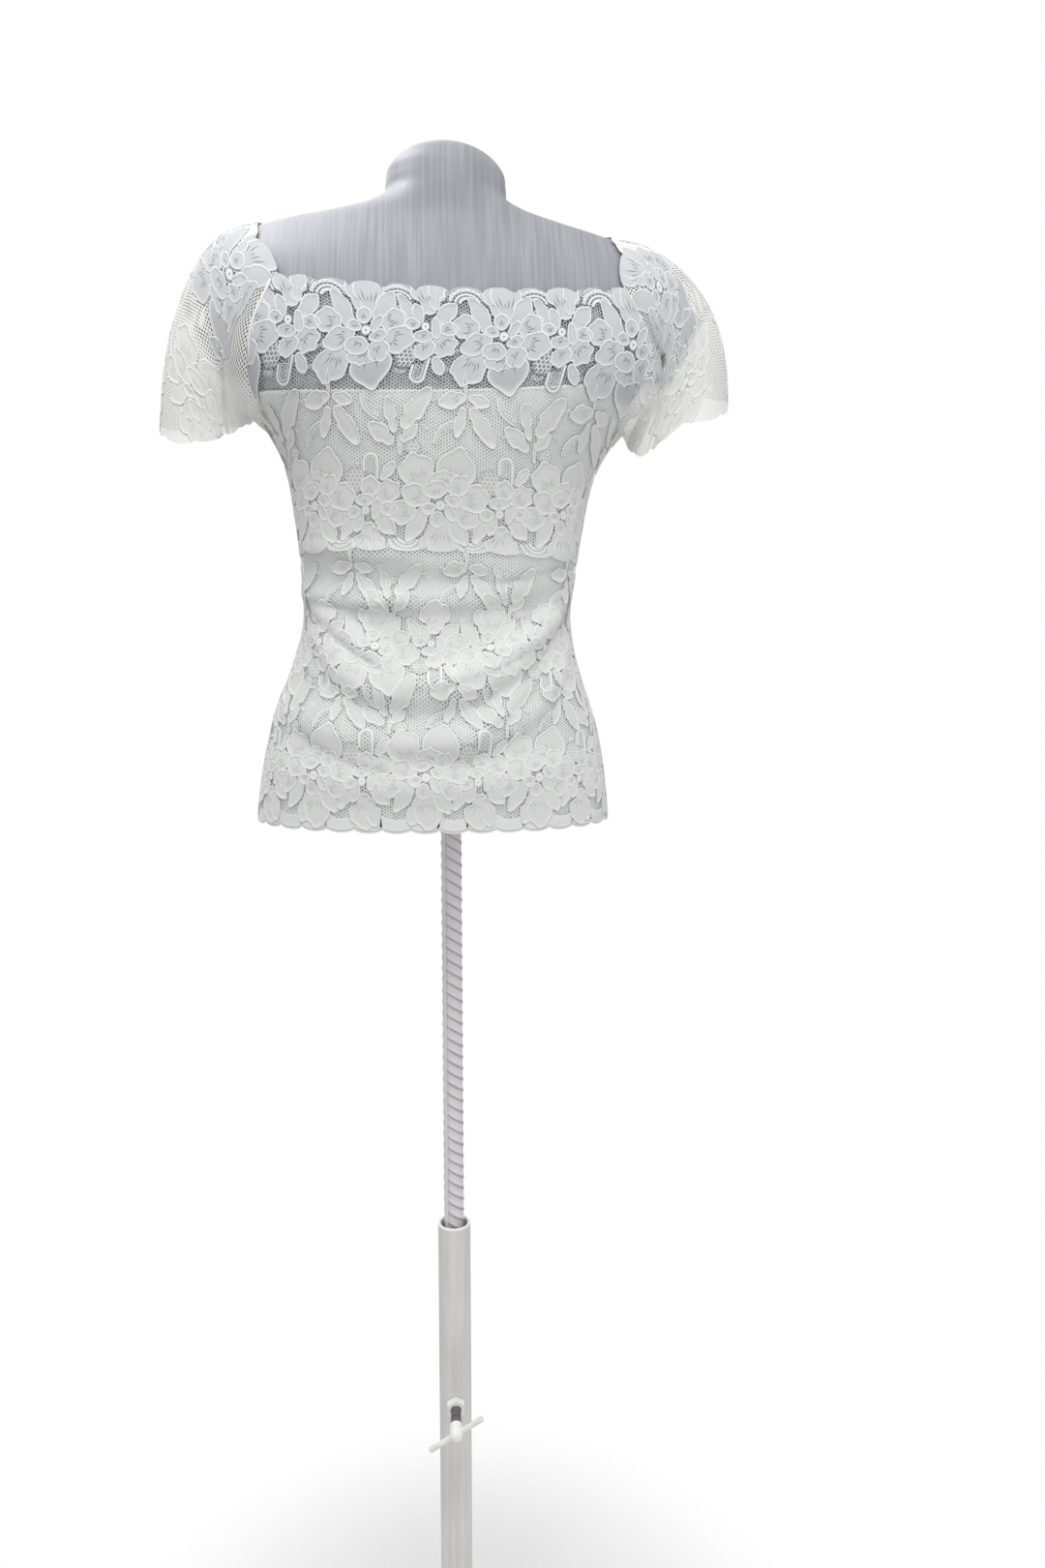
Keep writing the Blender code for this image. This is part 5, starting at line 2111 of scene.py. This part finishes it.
@dataclass
class Sleeve(LacePiece):
    """One sleeve: its net, its raised work and the folded seam by the armhole.

    Drops, lengths and sizes of the motifs are in millimetres or shares of the chart.
    """

    cloth: SleeveSurface
    columns: int = SLEEVE_COLUMNS * 7
    steps: int = 60
    margin: float = 0.0003
    seam_steps: int = 60
    seam_sides: int = 8
    # Shoulder flowers: place in steps of two columns, drop and size across
    shoulder: tuple[tuple[int, Motif, float, float], ...] = (
        (-2, LARGE_FLOWER, 33.0, 1.0), (0, SMALL_FLOWER, 28.0, 1.3), (2, LARGE_FLOWER, 33.0, 1.0),
    )
    leaf_places: tuple[float, ...] = (-0.40, -0.22, 0.0, 0.22, 0.40)
    leaf_length: float = 90.0
    cuff_flowers: int = 3
    cuff_length: float = 60.0
    cuff_rise: float = 33.0
    cuff_size: float = 0.92

    def edges(self, x: np.ndarray) -> tuple[np.ndarray, np.ndarray]:
        """The chart's edges: scallops over the shoulder and at the cuff.

        Args:
            x: places across.

        Returns:
            The top and bottom edges.
        """
        column = self.cloth.column(x) / self.cloth.FINE
        share = (column - SEAM_COLUMNS) / (SLEEVE_COLUMNS - 2 * SEAM_COLUMNS)
        over = (share > 0) & (share < 1)
        reach = np.where(over, NECK_SCALLOP_DEPTH * scallop(share * SHOULDER_SCALLOPS), 0.0)
        drop = CUFF_SCALLOP_DEPTH * scallop(column / SLEEVE_COLUMNS * CUFF_SCALLOPS)
        return reach - self.margin, -self.cloth.length(x) - drop

    def limits(self, x: np.ndarray, y: np.ndarray) -> tuple[np.ndarray, ...]:
        """The raised work reaches all round, from the cuff to the edge.

        Args:
            x: places across.
            y: minus the way down from the edge.

        Returns:
            The left, right, low and high limits.
        """
        top, bottom = self.edges(x)
        half = np.full_like(y, self.cloth.girth / 2)
        return -half, half, bottom, top

    def sheet(self) -> bpy.types.Object:
        """The net, as one thin tube from edge to cuff.

        Returns:
            The sheet.
        """
        half = self.cloth.girth / 2
        x = np.linspace(-half, half, self.columns + 1)[:-1]
        down = np.linspace(0.0, 1.0, self.steps + 1)[::-1, None]
        top, bottom = self.edges(x)
        y = top + (bottom - top) * down
        spread = np.broadcast_to(x, y.shape)
        return cloth_sheet(
            f"{self.name}_net", self.cloth, spread, y, np.full_like(y, NET_OFFSET), closed=True
        )

    def length(self, x: float) -> float:
        """The way from the edge to the cuff at a place across."""
        return float(self.cloth.length(np.array([x * MM]))[0]) / MM

    def motifs(self) -> Relief:
        """The flowers by the shoulder edge, leaves below them and inverted flowers by the cuff.

        Returns:
            The work.
        """
        work = Relief()
        girth = self.cloth.girth / MM
        step = self.cloth.girth / SLEEVE_COLUMNS * 2 / MM
        for number, motif, drop, size in self.shoulder:
            work.motif(Spot(number * step * 0.93, -drop, size, 1.0), motif)
        for place in self.leaf_places:
            length = self.length(place * girth)
            if length > self.leaf_length:
                work.motif(Spot(place * girth, -max(60.0, length * 0.55), 0.9, 0.9), SPRIG_DOWN)
        for number in range(self.cuff_flowers):
            large = (number / self.cuff_flowers - 0.5) * girth
            for x, motif in ((large, LARGE_FLOWER), (large + girth / 6, SMALL_FLOWER)):
                length = self.length(x)
                if length > self.cuff_length:
                    work.motif(Spot(x, -length + self.cuff_rise, self.cuff_size, -self.cuff_size), motif)
        return work

    def seam_roll(self) -> bpy.types.Object:
        """The soft folded seam that runs up both sides of the armhole.

        Returns:
            The two rolls as one piece.
        """
        steps, sides = self.seam_steps, self.seam_sides
        points, faces = [], []
        for way in (1, -1):
            base = len(points)
            column = np.mod(np.linspace(0.0, SEAM_COLUMNS, steps) * way, SLEEVE_COLUMNS) * self.cloth.FINE
            for place in range(sides):
                turn = 2 * math.pi * place / sides
                row = np.full(steps, 0.95 + 0.85 * math.cos(turn))
                lift = np.full(steps, NET_OFFSET + 0.0008 + 0.0013 * math.sin(turn))
                points += self.cloth.read(column, row, lift).tolist()
            for place in range(sides):
                low, high = base + place * steps, base + (place + 1) % sides * steps
                for step in range(steps - 1):
                    face = (low + step, low + step + 1, high + step + 1, high + step)
                    faces.append(face if way > 0 else face[::-1])
        made = mesh_object(f"{self.name}_seam", np.array(points), faces)
        add_uv(made, np.array(points)[:, [0, 2]])
        return made


@dataclass
class Garment:
    """The lace top: four lace panels, two linings, two sleeves and their seams."""

    figure: Figure
    panel_low: float = HEM_Z - 0.012
    panel_high: float = NECK_Z + 0.024
    upper_reach: float = 190.0
    lower_reach: float = 225.0

    def __post_init__(self) -> None:
        """Reads the panels' surfaces and makes the finishes."""
        self.panels = {
            side: PanelSurface(self.figure, side, self.panel_low, self.panel_high) for side in Side
        }
        self.net = NET.material()
        self.sleeve_net = SLEEVE_NET.material()
        self.work = WORK.material()
        self.sleeve_work = SLEEVE_WORK.material()
        self.knit = KNIT.material()

    def upper(self, side: Side) -> None:
        """The lace from the neckline to the waist join.

        Args:
            side: the garment's back or front.
        """
        skew = side.skewed(NECK_SKEW)
        neck = Edge(NECK_Z, NECK_SCALLOP_DEPTH, SCALLOP_PITCH, LOBE_PHASE, skew, NECK_CORNER_RISE)
        join = Edge(JOIN_Z, -HEM_SCALLOP_DEPTH)
        panel = LacePanel(
            f"{side.value}_upper", self.panels[side], UPPER_ROWS, neck, join, neck, BAND_Z, (0.385, 0.215)
        )
        work = panel.motifs()
        for edge in (neck, join):
            border = Border(work, edge)
            border.lines(self.upper_reach)
            border.fans()
        self.declare(panel, work)

    def lower(self, side: Side) -> None:
        """The lace from the waist join to the hem.

        Args:
            side: the garment's back or front.
        """
        join = Edge(JOIN_Z - 0.0004)
        hem = Edge(HEM_Z, -HEM_SCALLOP_DEPTH, HEM_SCALLOP_PITCH, HEM_PHASE, side.skewed(HEM_SKEW))
        panel = LacePanel(
            f"{side.value}_lower", self.panels[side], LOWER_ROWS, join, hem, hem, JOIN_Z, (0.445, 0.285),
            steps=120,
        )
        work = panel.motifs()
        border = Border(work, hem)
        border.backing(self.lower_reach)
        border.lines(self.lower_reach)
        self.declare(panel, work)

    def declare(self, panel: LacePanel, work: Relief) -> None:
        """Finishes a panel's two meshes.

        Args:
            panel: the panel.
            work: its motifs and borders.
        """
        raised = work.mounted(panel)
        net = finish_piece(panel.sheet(), self.net, replaces=(f"{panel.name}_lace",))
        finish_piece(raised, self.work)

    def lining(self, side: Side) -> None:
        """The opaque lining.

        Args:
            side: the garment's back or front.
        """
        made = Lining(side, self.panels[side]).sheet()
        finish_piece(made, self.knit, replaces=(f"{side.value}_lining",))

    def sleeve(self, name: str, tailoring: Tailoring) -> None:
        """One sleeve with its raised work and its seam.

        Args:
            name: the sleeve's solid.
            tailoring: its cut.
        """
        piece = Sleeve(name, SleeveSurface(self.figure, tailoring))
        net, raised, seam = piece.sheet(), piece.motifs().mounted(piece), piece.seam_roll()
        finish_piece(net, self.sleeve_net, replaces=(name,))
        finish_piece(raised, self.sleeve_work)
        finish_piece(seam, self.knit)

    def build(self) -> None:
        """Builds the whole garment."""
        for side in Side:
            self.upper(side)
            self.lower(side)
            self.lining(side)
        self.sleeve("sleeve_left", LEFT_SLEEVE)
        self.sleeve("sleeve_right", RIGHT_SLEEVE)


@dataclass
class DressForm:
    """The silver limbless form, read finely from its sections."""

    figure: Figure
    sides: int = 128
    base_round: float = 0.006
    base_reach: float = 0.14
    middle_share: float = 0.12
    shoulder_z: float = 1.47
    step: float = 0.006
    shoulder_step: float = 0.0022

    def build(self) -> bpy.types.Object:
        """One smooth closed body.

        Returns:
            The finished form.
        """
        turns = np.linspace(0.0, 2 * math.pi, self.sides, endpoint=False)
        levels = np.concatenate([
            np.arange(SECTIONS[0].z + self.base_round, self.shoulder_z, self.step),
            np.arange(self.shoulder_z, SECTIONS[-1].z, self.shoulder_step),
            [SECTIONS[-1].z],
        ])
        rings = [self.figure.bare(turns, np.full_like(turns, z)) for z in levels]
        base = rings[0].copy()
        base[:, :2] *= 1 - self.base_round * 0.75 / self.base_reach
        base[:, 2] = SECTIONS[0].z
        middle = base.copy()
        middle[:, :2] *= self.middle_share
        rings = [middle, base, *rings]
        points = np.concatenate([*rings, [(0.0, 0.0, NECK_TOP_Z)], [(0.0, 0.0, SECTIONS[0].z)]])
        made = mesh_object("form_body", self.figure.leaned(points), closed_faces(len(rings), self.sides))
        return finish_piece(made, SILVER.material(), replaces=("dress_form",))


@dataclass
class Stand:
    """The rod, the tube, the base and the clamp."""

    rod_core: float = 0.0095
    rod_sides: int = 44
    rod_step: float = 0.0014
    rib_step: float = 0.01135
    rib_drop: float = 0.0062
    rib_height: float = 0.0009
    rib_turn: float = math.radians(218.0)
    wall_reach: float = 0.01345
    shank_root: float = 0.0043
    shank_crest: float = 0.0050
    shank_lead: float = 0.0012
    shank_sides: int = 20
    thread_pitch: float = 0.0015
    shank_ends: Pair = (-0.0074, -0.0466)
    head: tuple[Pair, ...] = (
        (-0.0462, 0.0046), (-0.0463, 0.0058), (-0.0468, 0.0064), (-0.0588, 0.0064), (-0.0612, 0.0060),
        (-0.0632, 0.0049), (-0.0645, 0.0031), (-0.0650, 0.0012),
    )
    head_sides: int = 24

    def rod(self) -> bpy.types.Object:
        """The ribbed bar: two broad ribs along it and slanting ribs between them, with painted highlights
        and shadows on its ribs.

        Returns:
            The finished bar.
        """
        low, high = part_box("support_rod")
        centre = (low + high) / 2
        levels = np.append(np.arange(low.z, high.z, self.rod_step), high.z)
        turn = np.linspace(0.0, 2 * math.pi, self.rod_sides, endpoint=False)
        angle, z = np.meshgrid(turn, levels)
        off = np.mod(angle - self.rib_turn + math.pi / 2, math.pi) - math.pi / 2
        lengthwise = np.exp(-((off / 0.21) ** 4))
        half_turn = np.mod(angle - self.rib_turn, math.pi)
        phase = np.mod((z - low.z + half_turn * self.rib_drop) / self.rib_step, 1.0)
        fade = np.clip((np.abs(off) - 0.20) / 0.45, 0.0, 1.0) ** 0.6
        slanting = swell(phase, 0.5, 0.15) * fade
        radius = self.rod_core + self.rib_height * np.maximum(lengthwise * 1.2, slanting)
        depth = centre.y + radius * np.sin(angle)
        reach = np.hypot(radius * np.cos(angle), depth)
        radius = radius * np.minimum(1.0, self.wall_reach / reach) ** 1.3
        points = np.stack(
            [centre.x + radius * np.cos(angle), centre.y + radius * np.sin(angle), z], axis=-1
        ).reshape(-1, 3)
        # Painted light and shade in the tone: a highlight above each slanting rib and a shadow under it, and
        # a highlight on a lengthwise rib with shade just beside it.
        lit = 0.42 * swell(phase, 0.60, 0.09) * fade
        shaded = 0.62 * swell(phase, 0.35, 0.11) * fade
        beside = 0.30 * swell(off, 0.30, 0.07) - 0.26 * swell(off, 0.10, 0.06)
        tone = (0.58 + lit - shaded - beside).ravel()
        ends = [(centre.x, centre.y, high.z), (centre.x, centre.y, low.z)]
        made = mesh_object(
            "ribbed_bar", np.concatenate([points, ends]), closed_faces(len(levels), self.rod_sides)
        )
        add_tone(made, np.append(tone, (0.5, 0.5)))
        return finish_piece(made, BAR_STEEL.material(), replaces=("support_rod",))

    def screw(self) -> None:
        """The clamp screw: a threaded shank painted dark as shade between the nut and the head, with a
        bright domed head.
        """
        low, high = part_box("clamp_screw")
        axis = (low + high) / 2
        back, front = self.shank_ends
        profile = [(back, self.shank_root - 0.0008)]
        for crest in np.arange(back - self.shank_lead, front, -self.thread_pitch).tolist():
            profile += [(crest, self.shank_crest), (crest - self.thread_pitch / 2, self.shank_root)]
        shank = drawn_out("screw_shank", tuple(profile), axis, self.shank_sides)
        finish_piece(shank, SHADED_THREAD.material(), "screw", ("clamp_screw",))
        head = drawn_out("screw_head", self.head, axis, self.head_sides)
        finish_piece(head, BRIGHT_ZINC.material(), "screw")

    def paint(self) -> None:
        """Finishes for the solids that stay."""
        paint = TUBE_PAINT.material()
        for node, material, slot in (
            ("base_plate", paint, "stand_paint"),
            ("stand_tube", paint, "stand_paint"),
            ("clamp_nut", BRIGHT_ZINC.material(), "zinc"),
            ("clamp_bar", ZINC.material(), "zinc"),
        ):
            holder = bpy.data.objects[node]
            holder.data.materials.clear()
            holder.data.materials.append(material)

    def build(self) -> None:
        """Builds and dresses the whole stand."""
        self.rod()
        self.screw()
        self.paint()


@dataclass(frozen=True)
class Lamp:
    """A square soft light that faces the garment; only a mirrored one shows in polished surfaces."""

    name: str
    place: Triple
    size: float
    energy: float
    mirrored: bool = False

    def build(self, aim: Vector) -> None:
        """Hangs the light.

        Args:
            aim: the point it faces.
        """
        light = bpy.data.lights.new(self.name, "AREA")
        light.size = self.size
        light.energy = self.energy
        holder = linked(self.name, light)
        holder.location = self.place
        holder.rotation_euler = (aim - Vector(self.place)).to_track_quat("-Z", "Y").to_euler()
        holder.visible_glossy = self.mirrored


@dataclass
class Studio:
    """The camera at the photograph's angle, soft lights, a white backdrop and a pale floor.

    The camera stands at a distance from the stand's axis, turned round it by round_by and pitched down;
    the axis shows at axis_x in a picture of the given size in pixels.
    """

    picture: tuple[int, int] = (1080, 1620)
    focal: float = 1100.0
    axis_x: float = 465.5
    distance: float = 1.02
    height: float = 1.12
    pitch: float = math.radians(6.5)
    round_by: float = math.radians(0.5)
    sensor: float = 36.0
    aim_z: float = 1.25
    glow: float = 0.58
    floor_size: float = 1.2
    floor_z: float = -0.0005
    lamps: tuple[Lamp, ...] = (
        Lamp("key", (-0.1, -0.95, 2.9), 1.0, 21.0),
        Lamp("fill", (1.5, -1.9, 1.3), 1.6, 8.0),
        Lamp("shoulder", (-0.70, 0.10, 2.5), 0.7, 4.0, mirrored=True),
        Lamp("rim", (-0.7, 1.2, 2.5), 1.5, 10.0, mirrored=True),
    )

    def camera(self) -> None:
        """The photograph's camera."""
        level = Vector((math.sin(self.round_by), math.cos(self.round_by), 0.0))
        yaw = math.atan((self.picture[0] / 2 - self.axis_x) / self.focal)
        ahead = Matrix.Rotation(-yaw, 3, "Z") @ level
        look = ahead * math.cos(self.pitch)
        look.z = -math.sin(self.pitch)
        lens = bpy.data.cameras.new("photo_camera")
        lens.sensor_width = self.sensor
        lens.lens = self.focal / self.picture[1] * self.sensor
        holder = linked("photo_camera", lens)
        holder.location = (-self.distance * level.x, -self.distance * level.y, self.height)
        holder.rotation_euler = look.to_track_quat("-Z", "Y").to_euler()
        bpy.context.scene.camera = holder

    def world(self) -> None:
        """A white backdrop that lights the part more softly than it looks."""
        world = bpy.data.worlds.new("studio")
        bpy.context.scene.world = world
        world.use_nodes = True
        tree = world.node_tree
        tree.nodes.clear()
        output = tree.nodes.new("ShaderNodeOutputWorld")
        mix = tree.nodes.new("ShaderNodeMixShader")
        path = tree.nodes.new("ShaderNodeLightPath")
        for socket, strength in ((1, self.glow), (2, 1.0)):
            back = tree.nodes.new("ShaderNodeBackground")
            back.inputs["Color"].default_value = (1.0, 1.0, 1.0, 1.0)
            back.inputs["Strength"].default_value = strength
            tree.links.new(back.outputs[0], mix.inputs[socket])
        tree.links.new(path.outputs["Is Camera Ray"], mix.inputs[0])
        tree.links.new(mix.outputs[0], output.inputs["Surface"])

    def floor(self) -> None:
        """A pale floor that fades out round the base."""
        bpy.ops.object.select_all(action="DESELECT")
        bpy.ops.mesh.primitive_plane_add(size=self.floor_size, location=(0.0, 0.0, self.floor_z))
        floor = bpy.context.active_object
        floor.name = "studio_floor"
        floor.data.materials.append(FloorFinish().material())

    def build(self) -> None:
        """Builds the studio."""
        bpy.context.scene.view_settings.view_transform = "Standard"
        self.camera()
        self.world()
        self.floor()
        for lamp in self.lamps:
            lamp.build(Vector((0.0, 0.0, self.aim_z)))


def main() -> None:
    """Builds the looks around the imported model."""
    logging.basicConfig(level=logging.INFO, format="%(name)s: %(message)s")
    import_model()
    Studio().build()
    figure = Figure()
    Garment(figure).build()
    DressForm(figure).build()
    Stand().build()


if __name__ == "__main__":
    main()
